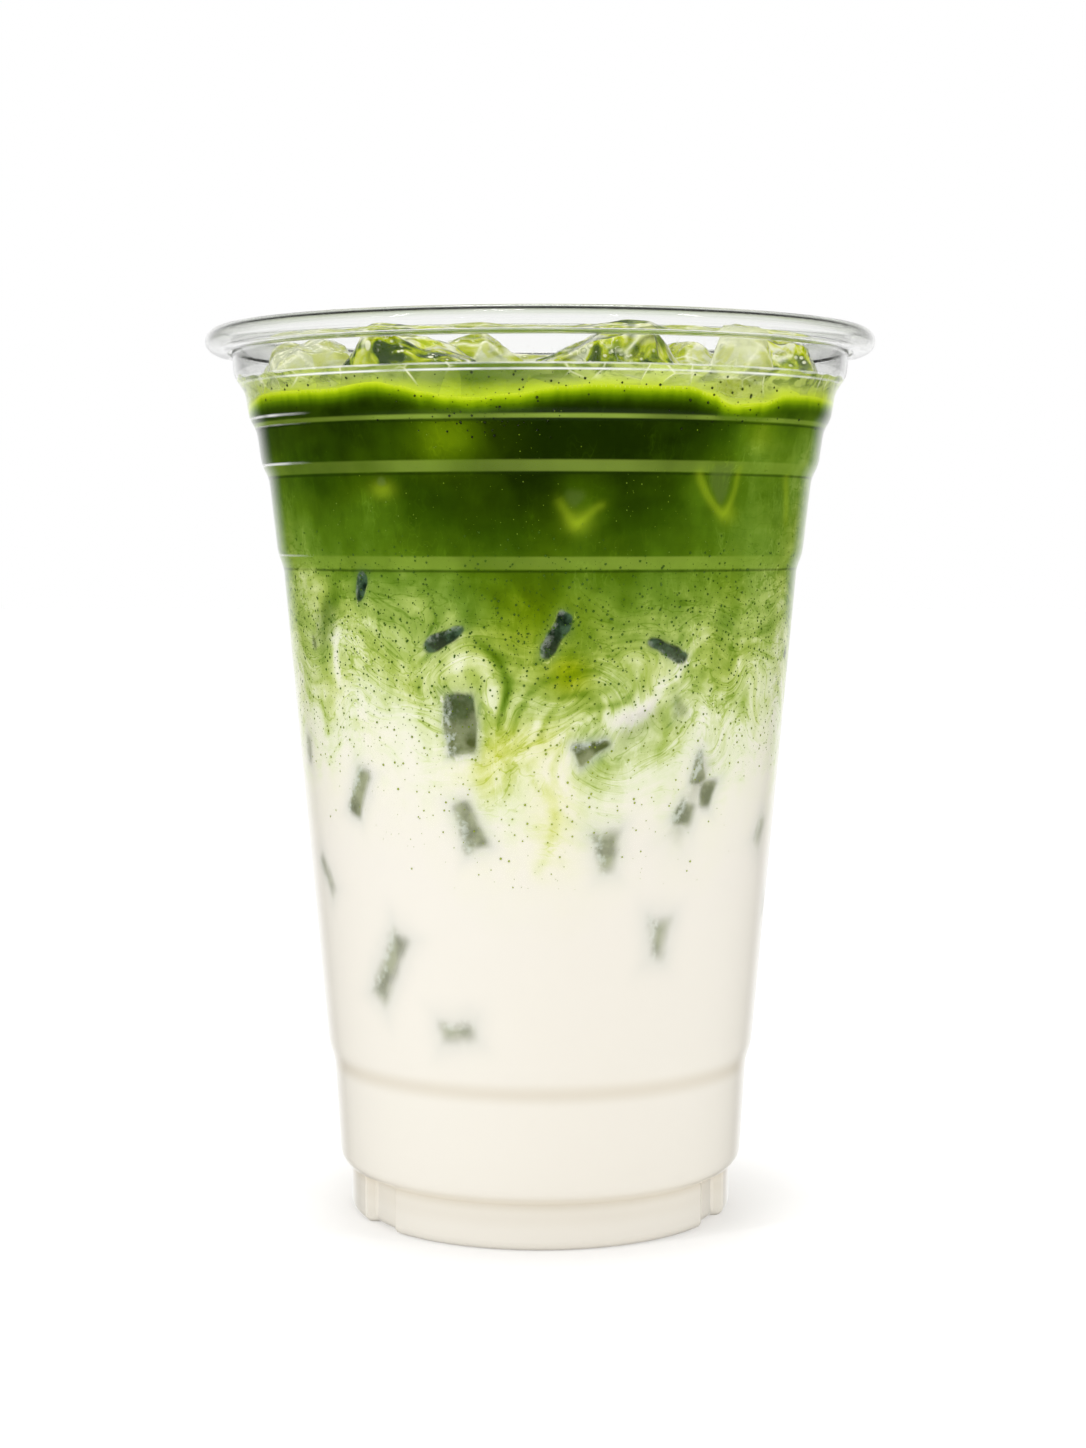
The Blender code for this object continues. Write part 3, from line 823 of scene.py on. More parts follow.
def teaGroup():
    # colour and relief of the drink, from the fields that its mesh carries and finer threads and clouds
    tree = bpy.data.node_groups.new("marbledTea", "ShaderNodeTree")
    addSockets(tree, "INPUT", "Float", "Thread Strength", "Cloud Strength")
    addSockets(tree, "OUTPUT", "Color", "Colour")
    addSockets(tree, "OUTPUT", "Float", "Relief", "Gloss")
    given = addNode(tree, "NodeGroupInput").outputs
    out = addNode(tree, "NodeGroupOutput")
    tints = paints(drink["colours"])
    place = objectPlace(tree)
    height = axisOf(tree, place, "Z")
    tea = attribute(tree, "tea")
    mixed = times(tree, smooth(tree, tea, 0.0, 0.25), smooth(tree, tea, 0.55, 0.95, 1.0, 0.35))

    # finer marbling: clouds, veins and threads drawn along the stirring, and pale lines of milk
    clouds = calc(tree, "SUBTRACT", cloud(tree, place, 420.0, 5.0, 0.62, (1.0, 1.0, 0.6), 0.5), 0.5)
    clouds = times(tree, clouds, mixed, given["Cloud Strength"])
    flow = addNode(tree, "ShaderNodeAttribute", attribute_name="flow").outputs["Vector"]
    stirred = times(tree, mixed, smooth(tree, tea, 0.42, 0.75, 1.0, 0.12))
    veins = calc(tree, "SUBTRACT", cloud(tree, flow, 520.0, 3.0, 0.6, (0.22, 0.22, 1.0)), 0.5)
    clouds = calc(tree, "MULTIPLY_ADD", veins, times(tree, stirred, 0.46), clouds)
    drawn = times(tree, threads(tree, flow, 330.0, 0.02, (0.35, 0.35, 1.0)), stirred, 0.12)
    clouds = calc(tree, "ADD", clouds, drawn)
    thin = threads(tree, place, 300.0, 0.02, (1.0, 1.0, 0.3))
    curly = threads(tree, place, 210.0, 0.016, (1.0, 1.0, 0.8))
    lines = times(tree, calc(tree, "ADD", thin, curly), blots(tree, place, (130.0,), 0.42, 0.62))
    lines = times(tree, lines, mixed, given["Thread Strength"])
    strength = calc(tree, "SUBTRACT", calc(tree, "ADD", tea, clouds), lines, clamp=True)
    plain, warm = (ramp(tree, strength, drink[name]) for name in ("plainTea", "warmTea"))
    colour = mixColour(tree, attribute(tree, "warmth"), plain, warm)

    deep = smooth(tree, strength, 0.3, 0.6)
    uneven = blots(tree, place, (38.0, 3.0, 0.6, (1.0, 1.0, 0.3)), 0.35, 0.65, 0.45, 1.15)
    for low, high, share in drink["ledgeLightBands"]:  # painted light: the pressed ledges catch light from below, with a line of painted shade under each
        up = smooth(tree, height, low * mm, (low + 0.3) * mm)
        down = smooth(tree, height, (high - 0.2) * mm, (high + 0.15) * mm, 1.0, 0.0)
        share = times(tree, up, down, deep, share)
        colour = mixColour(tree, times(tree, share, uneven, clamp=True), colour, tints["ledgeLight"])
        edge = smooth(tree, apartFrom(tree, height, (low - 0.12) * mm), 0.0, 0.3 * mm, 0.6, 0.0)
        colour = mixColour(tree, times(tree, edge, deep), colour, tints["ledgeShade"])
    for low, high, share in drink["milkShades"]:
        middle = apartFrom(tree, height, (low + high) / 2 * mm)
        shade = smooth(tree, middle, 0.0, (high - low) / 2 * mm, share, 0.0)
        colour = mixColour(tree, shade, colour, tints["milkShade"])
    # painted shade: the front of the drink a little darker and warmer, fading to the sides
    frontShade = smooth(tree, apartFrom(tree, axisOf(tree, place, "X"), 6.0 * mm), 0.0, 24.0 * mm, 0.35, 0.0)
    colour = mixColour(tree, frontShade, colour, (0.93, 0.915, 0.9, 1.0), "MULTIPLY")
    colour = mixColour(tree, attribute(tree, "glow"), colour, tints["glow"])

    wavy = calc(tree, "SUBTRACT", cloud(tree, place, 650.0, 3.0, 0.5, (1.0, 1.0, 0.25)), 0.5)
    froth = calc(tree, "ADD", attribute(tree, "froth"), times(tree, wavy, 0.7))
    fringe = ramp(tree, calc(tree, "DIVIDE", froth, 4.0, clamp=True), drink["fringe"])
    colour = mixColour(tree, smooth(tree, froth, 0.6, 3.2, 1.0, 0.0), colour, fringe)

    # the sunk ice and the haze of drink round it: paler low down, in the milk
    lower = smooth(tree, height, 66.0 * mm, 90.0 * mm)
    dark = smooth(tree, height, 98.0 * mm, 101.0 * mm)
    haze = mixColour(tree, lower, tints["hazeLow"], tints["hazeHigh"])
    fading = times(tree, smooth(tree, dark, 0.0, 1.0, 0.55, 0.0), smooth(tree, lower, 0.0, 1.0, 1.0, 0.3))
    colour = mixColour(tree, times(tree, attribute(tree, "halo"), fading), colour, haze)
    ragged = calc(tree, "SUBTRACT", cloud(tree, place, 480.0, 3.0, 0.55, None, 1.0), 0.5)
    rime = calc(tree, "ADD", attribute(tree, "rime"), ragged)
    frost = times(tree, smooth(tree, rime, 0.5, 0.9), blots(tree, place, (900.0, 4.0, 0.6), 0.4, 0.62))
    shade = blots(tree, place, (330.0, 3.0, 0.5), 0.35, 0.65)
    shade = mixColour(tree, shade, tints["iceLow"], tints["iceLowPale"])
    high = blots(tree, place, (420.0, 4.0, 0.6), 0.38, 0.62)
    high = mixColour(tree, high, tints["iceHigh"], tints["iceHighPale"])
    inner = mixColour(tree, lower, shade, high)
    frost = times(tree, frost, smooth(tree, lower, 0.0, 1.0, 0.85, 0.3))
    inner = mixColour(tree, frost, inner, tints["frost"])
    inner = mixColour(tree, dark, inner, tints["iceInTea"])
    colour = mixColour(tree, attribute(tree, "sunk"), colour, inner)

    inside = mixColour(tree, cloud(tree, place, 90.0), tints["insideDeep"], tints["insidePale"])
    colour = mixColour(tree, smooth(tree, attribute(tree, "within"), 0.15, 0.6), colour, inside)
    feed(tree, out.inputs["Colour"], colour)
    feed(tree, out.inputs["Relief"], calc(tree, "MULTIPLY_ADD", lines, -0.5, clouds))
    feed(tree, out.inputs["Gloss"], blots(tree, place, (90.0,), 0.3, 0.7, 0.28, 0.5))
    return tree


def drinkMaterial(name, group, threadStrength, cloudStrength):
    made, tree, shader = newMaterial(name, Specular_IOR_Level=0.0)
    tea = addNode(tree, "ShaderNodeGroup", node_tree=group)
    tea.inputs["Thread Strength"].default_value = threadStrength
    tea.inputs["Cloud Strength"].default_value = cloudStrength
    feed(tree, shader.inputs["Base Color"], tea.outputs["Colour"])
    feed(tree, shader.inputs["Roughness"], tea.outputs["Gloss"])
    bumpInto(tree, shader, tea.outputs["Relief"], 0.0001, 0.5)
    return made


def layerMesh(name, low, high, lowLift, highLift, caps):
    # wall rows between two levels; near each level the rows follow its swirl
    turns = columns(drink["lobeSteps"], drink["edgeSteps"], drink["fluteSteps"])
    start, rows, step = low, [], drink["rowStep"]
    if low is None:  # the lowest layer starts with the foot's own outline
        start = drink["footRows"]
        rows, step = [p for p in drinkPath if p[1] < start], step * 1.5
    levels = np.linspace(start, high, int((high - start) / step) + 1)
    radii = [np.full(len(turns), r) for r, z in rows]
    heights = [np.full(len(turns), z) for r, z in rows]
    lowLifts = lowLift(turns, wallRadius(start)) if lowLift else 0.0
    highLifts = highLift(turns, wallRadius(high))
    for level in levels:
        lifted = level + np.clip(1 - (high - level) / drink["swirlReach"], 0, 1) * highLifts
        if lowLift:
            lifted = lifted + np.clip(1 - (level - low) / drink["swirlReach"], 0, 1) * lowLifts
        heights.append(lifted)
        radii.append(wallRadius(lifted))
    if lowLift:
        radii[:0], heights[:0] = capRings(low, lowLift, turns, caps[0], heights[0])
    topRadii, topHeights = capRings(high, highLift, turns, caps[1], heights[-1])
    radii, heights = np.array(radii + topRadii[::-1]), np.array(heights + topHeights[::-1])
    return turnedMesh(name, pressFlutes(radii, heights, turns), heights, turns)


def capRings(level, levelLift, turns, rings, wallHeights):  # from the axis out to just short of the wall
    radii = [wallRadius(wallHeights) * i / rings for i in range(rings)]
    return radii, [level + levelLift(turns, ring) for ring in radii]


def topLift(turns, radii):
    degrees = np.degrees(turns)
    x, y = radii * np.sin(turns), -radii * np.cos(turns)
    ripple = 0.18 * fields["fine"](np.column_stack((x, y, np.full_like(x, 119.0)))) if np.ndim(radii) else 0.0
    atWall = topHeight(degrees) - drink["matchaTop"]
    wet = np.clip((np.hypot(x, y) / 42.0 - 0.93) / 0.07, 0, 1)
    return froth(x, y) * (1 - wet) + atWall * wet + ripple * (1 - wet)


def mergedSolid(node):  # a copy of a CAD piece's mesh, and its form with the loose triangles joined
    data = frame["nodes"][node].data.copy()
    data.materials.clear()
    shape = bmesh.new()
    shape.from_mesh(data)
    bmesh.ops.remove_doubles(shape, verts=shape.verts, dist=1e-6)
    return data, shape


def iceCutter(node, shrink):  # an ice solid drawn in a little, which the drink is cut with
    data, shape = mergedSolid(node)
    bmesh.ops.recalc_face_normals(shape, faces=shape.faces)
    shape.normal_update()
    for v in shape.verts:
        v.co -= v.normal * shrink
    shape.to_mesh(data)
    shape.free()
    return data


iceNodes = [f"ice_{i:02d}" for i in range(1, 11)]


def cutForIce(data):  # the matcha with the ice's places cut out of it
    holder = addObject("cutting", data)
    cutters = bpy.data.collections.new("cutters")
    for node in iceNodes:
        cutter = iceCutter(node, drink["iceOverlap"] * mm)
        cutters.objects.link(bpy.data.objects.new("cutter_" + node, cutter))
    bpy.context.scene.collection.children.link(cutters)
    cut = holder.modifiers.new("cut", "BOOLEAN")
    cut.operation, cut.operand_type, cut.solver = "DIFFERENCE", "COLLECTION", "EXACT"
    cut.collection = cutters
    made = asMesh(holder)
    for cutter in list(cutters.objects):
        bpy.data.objects.remove(cutter)
    bpy.data.collections.remove(cutters)
    return made


def makeDrink():
    group = teaGroup()
    milkLift = lambda turns, radii: lift(drink["milkSwirl"], turns, radii)
    blendLift = lambda turns, radii: lift(drink["blendSwirl"], turns, radii)
    layers = (
        ("milk", None, drink["milkTop"], None, milkLift, (0, 3), (0.04, 0.3)),
        ("blend", drink["milkTop"], drink["blendTop"], milkLift, blendLift, (3, 3), (0.05, 0.3)),
        ("matcha", drink["blendTop"], drink["matchaTop"], blendLift, topLift, (3, 26), (0.06, 0.22)),
    )
    for name, low, high, lowLift, highLift, caps, strengths in layers:
        data = layerMesh(name, low, high, lowLift, highLift, caps)
        if name == "matcha":
            data = cutForIce(data)
        addTeaFields(data)
        addPiece(f"{name}_layer", data, [drinkMaterial(name, group, *strengths)], [name])
        print(name, "made,", len(data.polygons), "faces")
    return group


teaNodes = makeDrink()


# The ice that floats half sunk: the solid's form, melted into humps, scoops and ridges

ice = {
    "voxel": 0.46, "scoopPitch": 6.0, "scoopDepth": 1.1, "scoopReach": 0.8, "finePitch": 3.0,
    "fineDepth": 0.3, "swell": 0.5, "ripple": 0.12, "ridge": 0.06, "wallRoom": 0.6,
    # a wide base that narrows to a hump between these heights
    "humpFrom": 119.6, "humpTo": 128.5, "humpSpread": 0.12, "humpPull": 0.3,
    # how green each piece is, 0 clear to 1 deep, and how far its hump's peak lies to the right, in mm
    "pieces": (
        (0.1, 0.0), (0.46, 0.0), (0.15, 0.0), (0.2, 0.0), (0.5, 2.0),
        (0.25, 0.0), (0.06, 0.0), (0.42, 0.0), (0.34, 0.0), (0.18, 0.0),
    ),
    # its colours as seen, from clear to deep green
    "greens": ((0.0, 244, 246, 214), (0.2, 232, 236, 146), (0.4, 210, 220, 48), (0.6, 172, 190, 4),
               (0.8, 116, 140, 0), (1.0, 50, 74, 0)),
    "colours": {"grazingShade": (54, 76, 0), "bubbleRim": (84, 104, 0), "white": (255, 255, 226)},
}


def meltedIce(number, node):
    data, shape = mergedSolid(node)
    shape.to_mesh(data)
    shape.free()
    holder = addObject("melting", data)
    remesh = holder.modifiers.new("remesh", "REMESH")
    remesh.mode, remesh.voxel_size = "VOXEL", ice["voxel"] * mm
    even = holder.modifiers.new("even", "SMOOTH")
    even.iterations, even.factor = 3, 0.5
    made = asMesh(holder)
    shape = bmesh.new()
    shape.from_mesh(made)
    shape.normal_update()
    shift = Vector((number * 3.7, number * 1.9, 0.0))
    green, peak = ice["pieces"][number]
    middle = sum((v.co for v in shape.verts), Vector()) / len(shape.verts)
    middle.x += peak * mm
    places, facets, ridges, valleys = [], [], [], []
    for v in shape.verts:
        spot = v.co / mm
        (near, second, *_), (cell, *_) = noise.voronoi(spot / ice["scoopPitch"] + shift)
        scoop = max(0.0, 1 - near / ice["scoopReach"]) ** 1.3 * ice["scoopDepth"]
        fine = noise.voronoi(spot / ice["finePitch"] - shift)[0][0]
        scoop += max(0.0, 1 - fine / ice["scoopReach"]) ** 1.3 * ice["fineDepth"]
        wave = ice["ripple"] * noise.noise(spot / 2.2 + shift) + ice["swell"]
        place = v.co + v.normal * (wave - scoop) * mm
        risen = max(0.0, (spot.z - ice["humpFrom"]) / (ice["humpTo"] - ice["humpFrom"]))
        pull = ice["humpPull"] * risen ** 1.3 - ice["humpSpread"] * min(1.0, 8.0 * risen)
        place.x += (middle.x - place.x) * pull
        place.y += (middle.y - place.y) * pull * 0.5
        room = (float(wallRadius(spot.z)) - ice["wallRoom"]) * mm / max(math.hypot(place.x, place.y), 1e-6)
        if room < 1.0:
            place.x *= room
            place.y *= room
        places.append(place)
        facets.append(0.5 + 0.5 * math.sin(cell.x * 37.0 + cell.y * 71.0 + cell.z * 53.0))
        ridges.append(math.exp(-((second - near) / ice["ridge"]) ** 2))
        valleys.append(math.exp(-((second - near - 3.0 * ice["ridge"]) / (1.5 * ice["ridge"])) ** 2))
    for v, place in zip(shape.verts, places):
        v.co = place
    shape.to_mesh(made)
    shape.free()
    greens = np.full(len(facets), green)
    setAttributes(made, {"green": greens, "facet": facets, "ridge": ridges, "valleyShade": valleys})
    return made


def wetIce():
    made, tree, shader = newMaterial("ice", IOR=1.31)
    tints = paints(ice["colours"])
    place = objectPlace(tree)
    green = attribute(tree, "green")
    low = smooth(tree, axisOf(tree, place, "Z"), 119.0 * mm, 128.5 * mm, 1.0, 0.0)  # greener by the drink
    facet = calc(tree, "SUBTRACT", attribute(tree, "facet"), 0.55)
    depth = calc(tree, "MULTIPLY_ADD", low, 0.15, calc(tree, "MULTIPLY_ADD", facet, 0.45, green))
    patches = blots(tree, place, (190.0, 3.0, 0.55, None, 1.2), 0.38, 0.62, -0.5, 0.5)
    patchy = smooth(tree, green, 0.05, 0.45, 0.34, 0.74)
    colour = ramp(tree, calc(tree, "MULTIPLY_ADD", patches, patchy, depth, clamp=True), ice["greens"])

    # painted shade along the grazing edges and in the valleys beside the ridges, and clusters of bubbles with
    # dark rims
    facing = addNode(tree, "ShaderNodeLayerWeight", {"Blend": 0.35}).outputs["Facing"]
    grazingShade = times(tree, smooth(tree, facing, 0.45, 0.85), smooth(tree, green, 0.05, 0.45, 0.4, 0.9))
    valleyShade = times(tree, attribute(tree, "valleyShade"), blots(tree, place, (140.0,), 0.45, 0.6, 0.0, 0.7))
    valleyShade = times(tree, valleyShade, smooth(tree, green, 0.05, 0.4, 0.3, 1.0))
    colour = mixColour(tree, calc(tree, "MAXIMUM", grazingShade, valleyShade), colour, tints["grazingShade"])
    spots = cells(tree, place, 900.0)
    clustered = blots(tree, place, (95.0,), 0.53, 0.6)
    bubbles = times(tree, smooth(tree, spots, 0.18, 0.3, 1.0, 0.0), clustered)
    rims = smooth(tree, apartFrom(tree, spots, 0.42), 0.0, 0.1, 0.6, 0.0)
    colour = mixColour(tree, times(tree, rims, clustered), colour, tints["bubbleRim"])

    # white cracks and bubbles, with painted highlights: white ridges and glints
    cracks = times(tree, threads(tree, place, 260.0, 0.014), blots(tree, place, (110.0, 1.0), 0.5, 0.6))
    ridge = times(tree, attribute(tree, "ridge"), blots(tree, place, (150.0,), 0.42, 0.56))
    long = stretched(tree, place, Scale=(1.0, 1.0, 0.5))
    white = smooth(tree, cells(tree, long, 330.0), 0.1, 0.16, 1.0, 0.0)
    for more in (bubbles, cracks, ridge):
        white = calc(tree, "MAXIMUM", white, more)
    colour = mixColour(tree, times(tree, white, 0.9), colour, tints["white"])
    feed(tree, shader.inputs["Base Color"], colour)
    clear = times(tree, smooth(tree, green, 0.05, 0.45, 0.42, 0.04), calc(tree, "SUBTRACT", 1.0, white))
    feed(tree, shader.inputs["Transmission Weight"], clear)
    feed(tree, shader.inputs["Specular IOR Level"], smooth(tree, facing, 0.2, 0.7, 0.34, 0.04))
    feed(tree, shader.inputs["Roughness"], blots(tree, place, (180.0, 3.0, 0.6), 0.5, 0.75, 0.03, 0.15))
    relief = calc(tree, "MULTIPLY_ADD", bubbles, 0.3, cloud(tree, place, 300.0, 3.0, 0.45))
    bumpInto(tree, shader, relief, 0.0008, 0.8)
    return made


def makeIce():
    wet = wetIce()
    for number, node in enumerate(iceNodes):
        piece = addPiece("floating_" + node, meltedIce(number, node), [wet], [node], sharp=60.0)
        piece.visible_shadow = piece.visible_diffuse = False
    print("ice made")


makeIce()


# The wet film: tea that clings to the wall above the drink's top, thinning upwards

film = {
    "below": 0.4, "lastHeight": 122.9, "uneven": 0.12, "thickness": 0.3, "rows": 14,
    # turn, how dense the film is, and how dark it is at its top
    "stretches": (
        (-180, 0.7, 0.4), (-90, 0.6, 0.3), (-68, 0.5, 0.1), (-50, 0.5, 0.15), (-40, 0.75, 0.3),
        (-28, 1.1, 0.6), (-21, 1.3, 0.7), (-12, 1.4, 1.0), (-2, 1.3, 0.85), (5, 1.15, 0.45), (14, 0.9, 0.15),
        (26, 0.85, 0.1), (31, 0.5, 0.0), (37, 0.3, 0.0), (44, 0.35, 0.0), (52, 0.8, 0.3), (66, 0.75, 0.3),
        (90, 0.6, 0.3), (180, 0.7, 0.4),
    ),
    # its thin and its dark stretches, each at its upper edge and low down, then murk and painted glints
    "colours": {
        "pale": (204, 218, 118), "paleLow": (202, 220, 58), "deep": (88, 116, 0), "deepLow": (188, 212, 26),
        "murk": (92, 118, 8), "glint": (250, 252, 206),
    },
}


def wetTea():
    made, tree, shader = newMaterial("wet_film", IOR=1.33, Roughness=0.08)
    tints = paints(film["colours"])
    place = objectPlace(tree)
    bent = stretched(tree, place, Rotation=(0.5, 0.4, 0.2))
    facet = calc(tree, "SUBTRACT", axisOf(tree, cells(tree, bent, 210.0, "Color"), "X"), 0.5)
    blot = calc(tree, "SUBTRACT", cloud(tree, place, 150.0, 3.0, 0.55, None, 0.8), 0.5)
    blot = calc(tree, "MULTIPLY_ADD", facet, 0.5, blot)
    fade = attribute(tree, "fade")
    low = calc(tree, "ADD", smooth(tree, fade, 0.35, 1.0), times(tree, blot, 0.6), clamp=True)
    pale = mixColour(tree, low, tints["pale"], tints["paleLow"])
    deep = mixColour(tree, low, tints["deep"], tints["deepLow"])
    colour = mixColour(tree, attribute(tree, "dark"), pale, deep)
    upper = smooth(tree, fade, 0.3, 0.8, 1.0, 0.0)
    murk = blots(tree, place, (230.0, 4.0, 0.6, (1.0, 1.0, 2.2), 1.0), 0.47, 0.62, 0.0, 0.8)
    colour = mixColour(tree, times(tree, murk, upper), colour, tints["murk"])
    # painted highlights: pale lines along the facets' edges and small glints, in the film's upper part
    edges = smooth(tree, cells(tree, bent, 210.0, feature="DISTANCE_TO_EDGE"), 0.0, 0.05, 1.0, 0.0)
    edges = times(tree, edges, blots(tree, place, (120.0, 1.0), 0.48, 0.58), 0.75)
    long = stretched(tree, place, Scale=(0.6, 0.6, 1.0))
    glints = smooth(tree, cells(tree, long, 420.0), 0.1, 0.17, 0.9, 0.0)
    glints = times(tree, glints, blots(tree, place, (90.0, 1.0), 0.42, 0.5))
    light = times(tree, calc(tree, "MAXIMUM", edges, glints), upper)
    feed(tree, shader.inputs["Base Color"], mixColour(tree, light, colour, tints["glint"]))
    dense = calc(tree, "MULTIPLY_ADD", blot, 0.9, attribute(tree, "dense"))
    atLine = smooth(tree, fade, 0.62, 0.95)
    feed(tree, shader.inputs["Alpha"], calc(tree, "MAXIMUM", atLine, dense, clamp=True))
    bumpInto(tree, shader, blot, 0.0006, 0.6)
    return made


def makeFilm():
    turns = columns(120, 2, 16)
    count, rows = len(turns), film["rows"]
    degrees = wrap(np.degrees(turns))
    starts = topHeight(degrees) - film["below"]
    ends = film["lastHeight"] + film["uneven"] * fields["fine"](onWall(degrees, np.full(count, 120.0)))
    shares = np.linspace(0.0, 1.0, rows)
    front = [starts + (ends - starts) * share for share in shares]
    heights = np.array(front + front[::-1])
    shares = np.concatenate((shares, shares[::-1]))  # up the outside, and down the inside
    inward = film["thickness"] * (1 - 0.8 * shares) * (np.arange(2 * rows) >= rows)
    data = turnedMesh("wet_film", wallRadius(heights) - inward[:, None], heights, turns)
    last = (2 * rows - 1) * count
    shape = bmesh.new()
    shape.from_mesh(data)
    shape.verts.ensure_lookup_table()
    for j in range(count):
        k = (j + 1) % count
        shape.faces.new([shape.verts[i] for i in (last + j, last + k, k, j)])
    shape.to_mesh(data)
    shape.free()
    dense, dark = (eased(degrees, [(mark[0], mark[i]) for mark in film["stretches"]]) for i in (1, 2))
    values = {"dense": np.tile(dense, 2 * rows), "dark": np.tile(dark, 2 * rows)}
    setAttributes(data, {"fade": np.repeat(1 - shares, count), **values})
    addPiece("wet_film", data, [wetTea()], sharp=60.0)
    print("film made")


makeFilm()


# The sunk ice: bodies of ice pressed flat against the wall, which show where the drink is thin over them

slab = {
    "proud": 0.03, "depth": 3.2, "around": 28, "rings": (0.3, 0.6, 0.82, 0.93, 1.0, 1.08, 1.2),
    "leastShown": 0.45,  # fainter ice than this is colour in the drink only
}


def sunkIceMesh():
    points, faces = [], []
    for turn, height, length, topWidth, footWidth, lean, soft, shown in allSunkIce():
        if shown < slab["leastShown"]:
            continue
        c, s = math.cos(math.radians(lean)), math.sin(math.radians(lean))

        def place(share, angle, inward):
            sine, cosine = math.sin(angle), math.cos(angle)
            along = length / 2 * math.copysign(abs(sine) ** 0.6, sine) * share
            half = (topWidth + footWidth) / 4 + (topWidth - footWidth) / 2 * along / length
            side = half * math.copysign(abs(cosine) ** 0.6, cosine) * share
            across, up = side * c + along * s, along * c - side * s
            bend = math.radians(turn) + across / wallArc
            level = height + up
            radius = wallRadius(level) + slab["proud"] - inward
            return (radius * math.sin(bend) * mm, -radius * math.cos(bend) * mm, level * mm)

        around = slab["around"]
        start = len(points)
        points.append(place(0.0, 0.0, 0.0))
        loops = [(share, 0.0) for share in slab["rings"]]
        loops += [(0.9, slab["depth"]), (0.5, slab["depth"] * 1.15)]
        for share, inward in loops:
            points += [place(share, math.tau * i / around, inward) for i in range(around)]
        points.append(place(0.0, 0.0, slab["depth"] * 1.2))
        last = len(points) - 1
        for i in range(around):
            k = (i + 1) % around
            faces.append((start, start + 1 + i, start + 1 + k))
            for ring in range(len(loops) - 1):
                a = start + 1 + ring * around
                faces.append((a + i, a + around + i, a + around + k, a + k))
            a = start + 1 + (len(loops) - 1) * around
            faces.append((a + i, last, a + k))
    data = bpy.data.meshes.new("sunk_ice")
    data.from_pydata(points, [], faces)
    return data


def makeSunkIce(group):
    data = sunkIceMesh()
    addTeaFields(data)
    addPiece("sunk_ice", data, [drinkMaterial("sunk_ice", group, 0.2, 0.3)], sharp=50.0)
    print("sunk ice made,", len(data.polygons), "faces")


makeSunkIce(teaNodes)


# Specks of tea and small bubbles, strewn over the wall and the film

dots = {
    # name: heights, mm in from the wall, dots for each mm², least and most radius in mm, seed, and colours
    # low and high up, between two heights
    "tea_specks": ((52.0, 101.0), -0.04, 1.9, (0.05, 0.2), 3,
                   ((152, 168, 56), (64, 98, 14)), (66.0, 82.0)),
    "fine_bubbles": ((96.0, 118.0), -0.03, 0.5, (0.035, 0.12), 4,
                     ((112, 142, 40), (112, 140, 22)), (96.0, 118.0)),
    "dark_bubbles": ((111.0, 122.4), -0.02, 1.4, (0.05, 0.24), 5,
                     ((16, 30, 0), (40, 56, 0)), (111.0, 122.4)),
    # where they crowd: turn, height, reach across, reach up, share
    "crowds": {
        "tea_specks": (
            (0.0, 88.0, 400.0, 9.0, 1.0), (0.0, 74.0, 400.0, 6.0, 0.4), (0.0, 62.0, 20.0, 8.0, 0.3)),
        "fine_bubbles": (
            (0.0, 100.0, 400.0, 8.0, 0.8), (-12.0, 114.0, 9.0, 3.0, 1.0), (44.0, 114.0, 7.0, 3.0, 1.0)),
        "dark_bubbles": (
            (-10.0, 116.5, 8.0, 2.4, 1.0), (38.0, 118.0, 5.0, 3.0, 1.0), (8.0, 121.0, 30.0, 1.2, 0.35),
            (-45.0, 121.0, 16.0, 1.2, 0.3), (180.0, 120.0, 60.0, 2.0, 0.3)),
    },
}


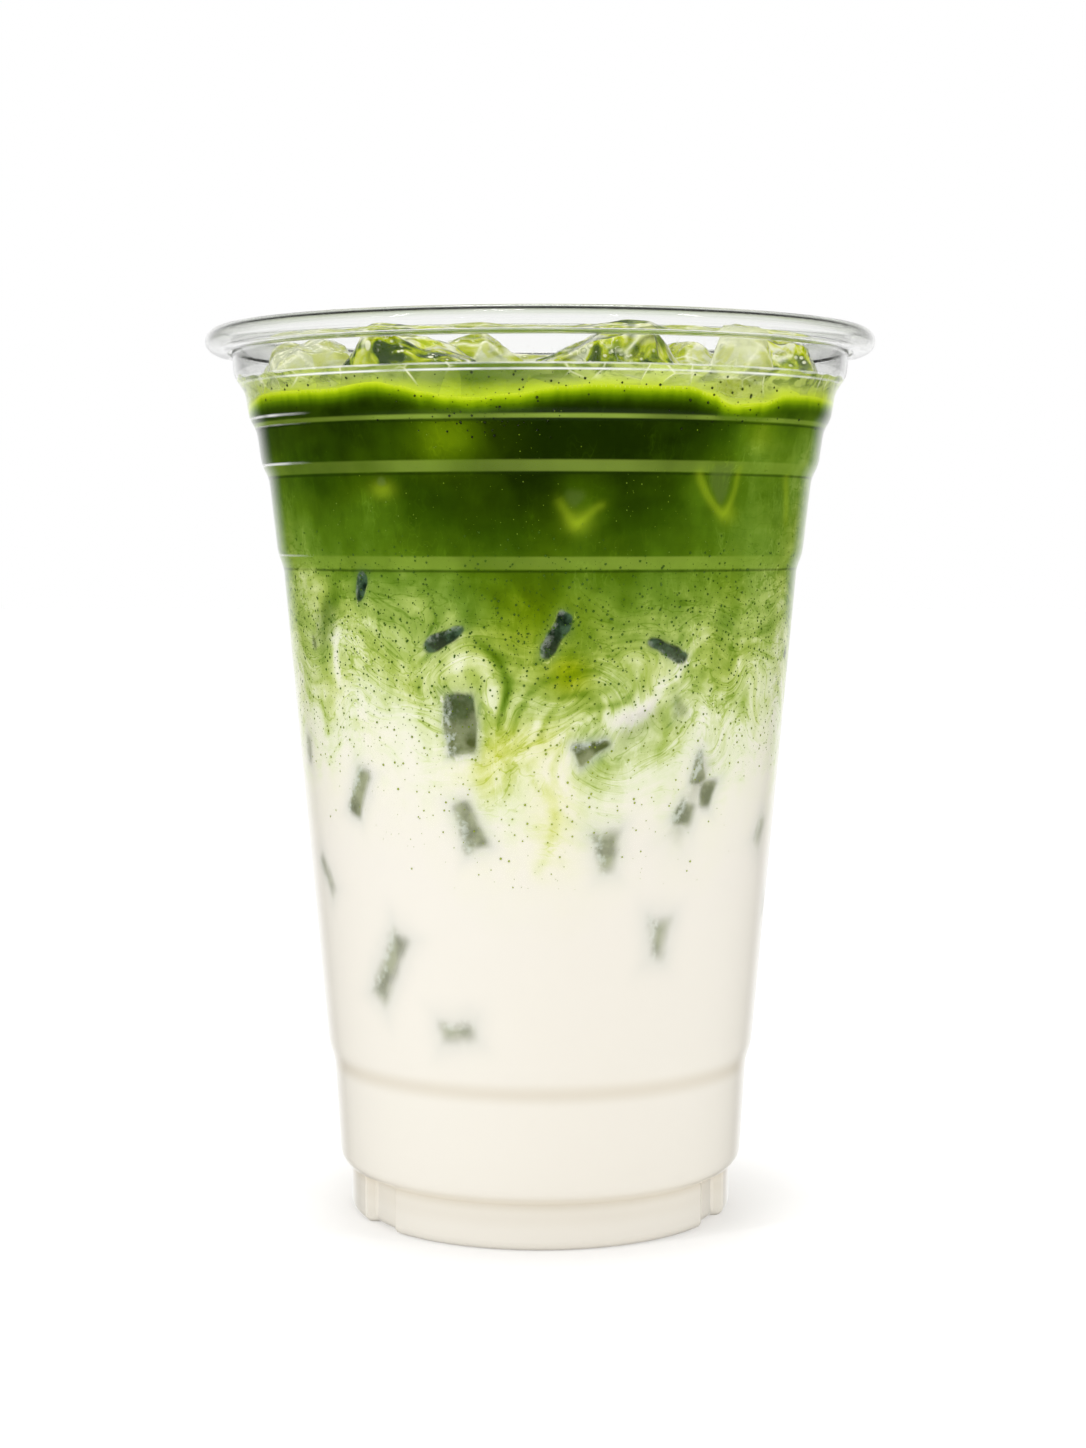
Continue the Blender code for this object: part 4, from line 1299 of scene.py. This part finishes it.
def scatterGroup():  # strews small spheres over a sheet, by its attribute "chance"
    tree = bpy.data.node_groups.new("scatterDots", "GeometryNodeTree")
    addSockets(tree, "INPUT", "Geometry", "Geometry")
    addSockets(tree, "INPUT", "Float", "Density", "Least Radius", "Most Radius")
    addSockets(tree, "INPUT", "Int", "Seed")
    addSockets(tree, "INPUT", "Material", "Material")
    addSockets(tree, "OUTPUT", "Geometry", "Geometry")
    given = addNode(tree, "NodeGroupInput").outputs
    out = addNode(tree, "NodeGroupOutput")
    chance = addNode(tree, "GeometryNodeInputNamedAttribute", {"Name": "chance"}, data_type="FLOAT")
    density = times(tree, given["Density"], chance.outputs["Attribute"])
    points = addNode(tree, "GeometryNodeDistributePointsOnFaces", {
        "Mesh": given["Geometry"], "Density": density, "Seed": given["Seed"]})
    dot = addNode(tree, "GeometryNodeMeshIcoSphere", {"Radius": 1.0, "Subdivisions": 1})
    luck = addNode(tree, "FunctionNodeRandomValue", {"Seed": given["Seed"]}, data_type="FLOAT").outputs[1]
    spread = calc(tree, "SUBTRACT", given["Most Radius"], given["Least Radius"])
    size = calc(tree, "MULTIPLY_ADD", calc(tree, "POWER", luck, 3.0), spread, given["Least Radius"])
    strewn = addNode(tree, "GeometryNodeInstanceOnPoints", {
        "Points": points.outputs["Points"], "Instance": dot.outputs["Mesh"], "Scale": size})
    whole = addNode(tree, "GeometryNodeRealizeInstances", {"Geometry": strewn.outputs["Instances"]})
    dressed = addNode(tree, "GeometryNodeSetMaterial", {
        "Geometry": whole.outputs["Geometry"], "Material": given["Material"]})
    feed(tree, out.inputs["Geometry"], dressed.outputs["Geometry"])
    return tree


def dotMaterial(name, colours, between):
    made, tree, shader = newMaterial(name, Roughness=0.25)
    up = smooth(tree, axisOf(tree, objectPlace(tree), "Z"), between[0] * mm, between[1] * mm)
    feed(tree, shader.inputs["Base Color"], mixColour(tree, up, paint(*colours[0]), paint(*colours[1])))
    return made


def makeDots():
    group = scatterGroup()
    sockets = {item.name: item.identifier for item in group.interface.items_tree if item.in_out == "INPUT"}
    turns = np.radians(np.arange(0.0, 360.0, 3.0))
    for name, crowds in dots["crowds"].items():
        heights, inward, density, (least, most), seed, colours, between = dots[name]
        levels = np.arange(heights[0], heights[1] + 0.1, 1.0)[:, None] + np.zeros(len(turns))
        sheet = turnedMesh(name, wallRadius(levels) - inward, levels, turns)
        chance = bells(np.tile(np.degrees(turns), len(levels)), levels.ravel(), crowds)
        setAttributes(sheet, {"chance": chance})
        holder = addObject("strewing", sheet)
        strew = holder.modifiers.new("strew", "NODES")
        strew.node_group = group
        values = {
            "Density": density * 1e6, "Least Radius": least * mm, "Most Radius": most * mm, "Seed": seed,
            "Material": dotMaterial(name, colours, between),
        }
        for socket, value in values.items():
            strew[sockets[socket]] = value
        made = asMesh(holder)
        addPiece(name, made, [], sharp=None)
        made.shade_smooth()
        print(name, "made,", len(made.polygons), "faces")


makeDots()
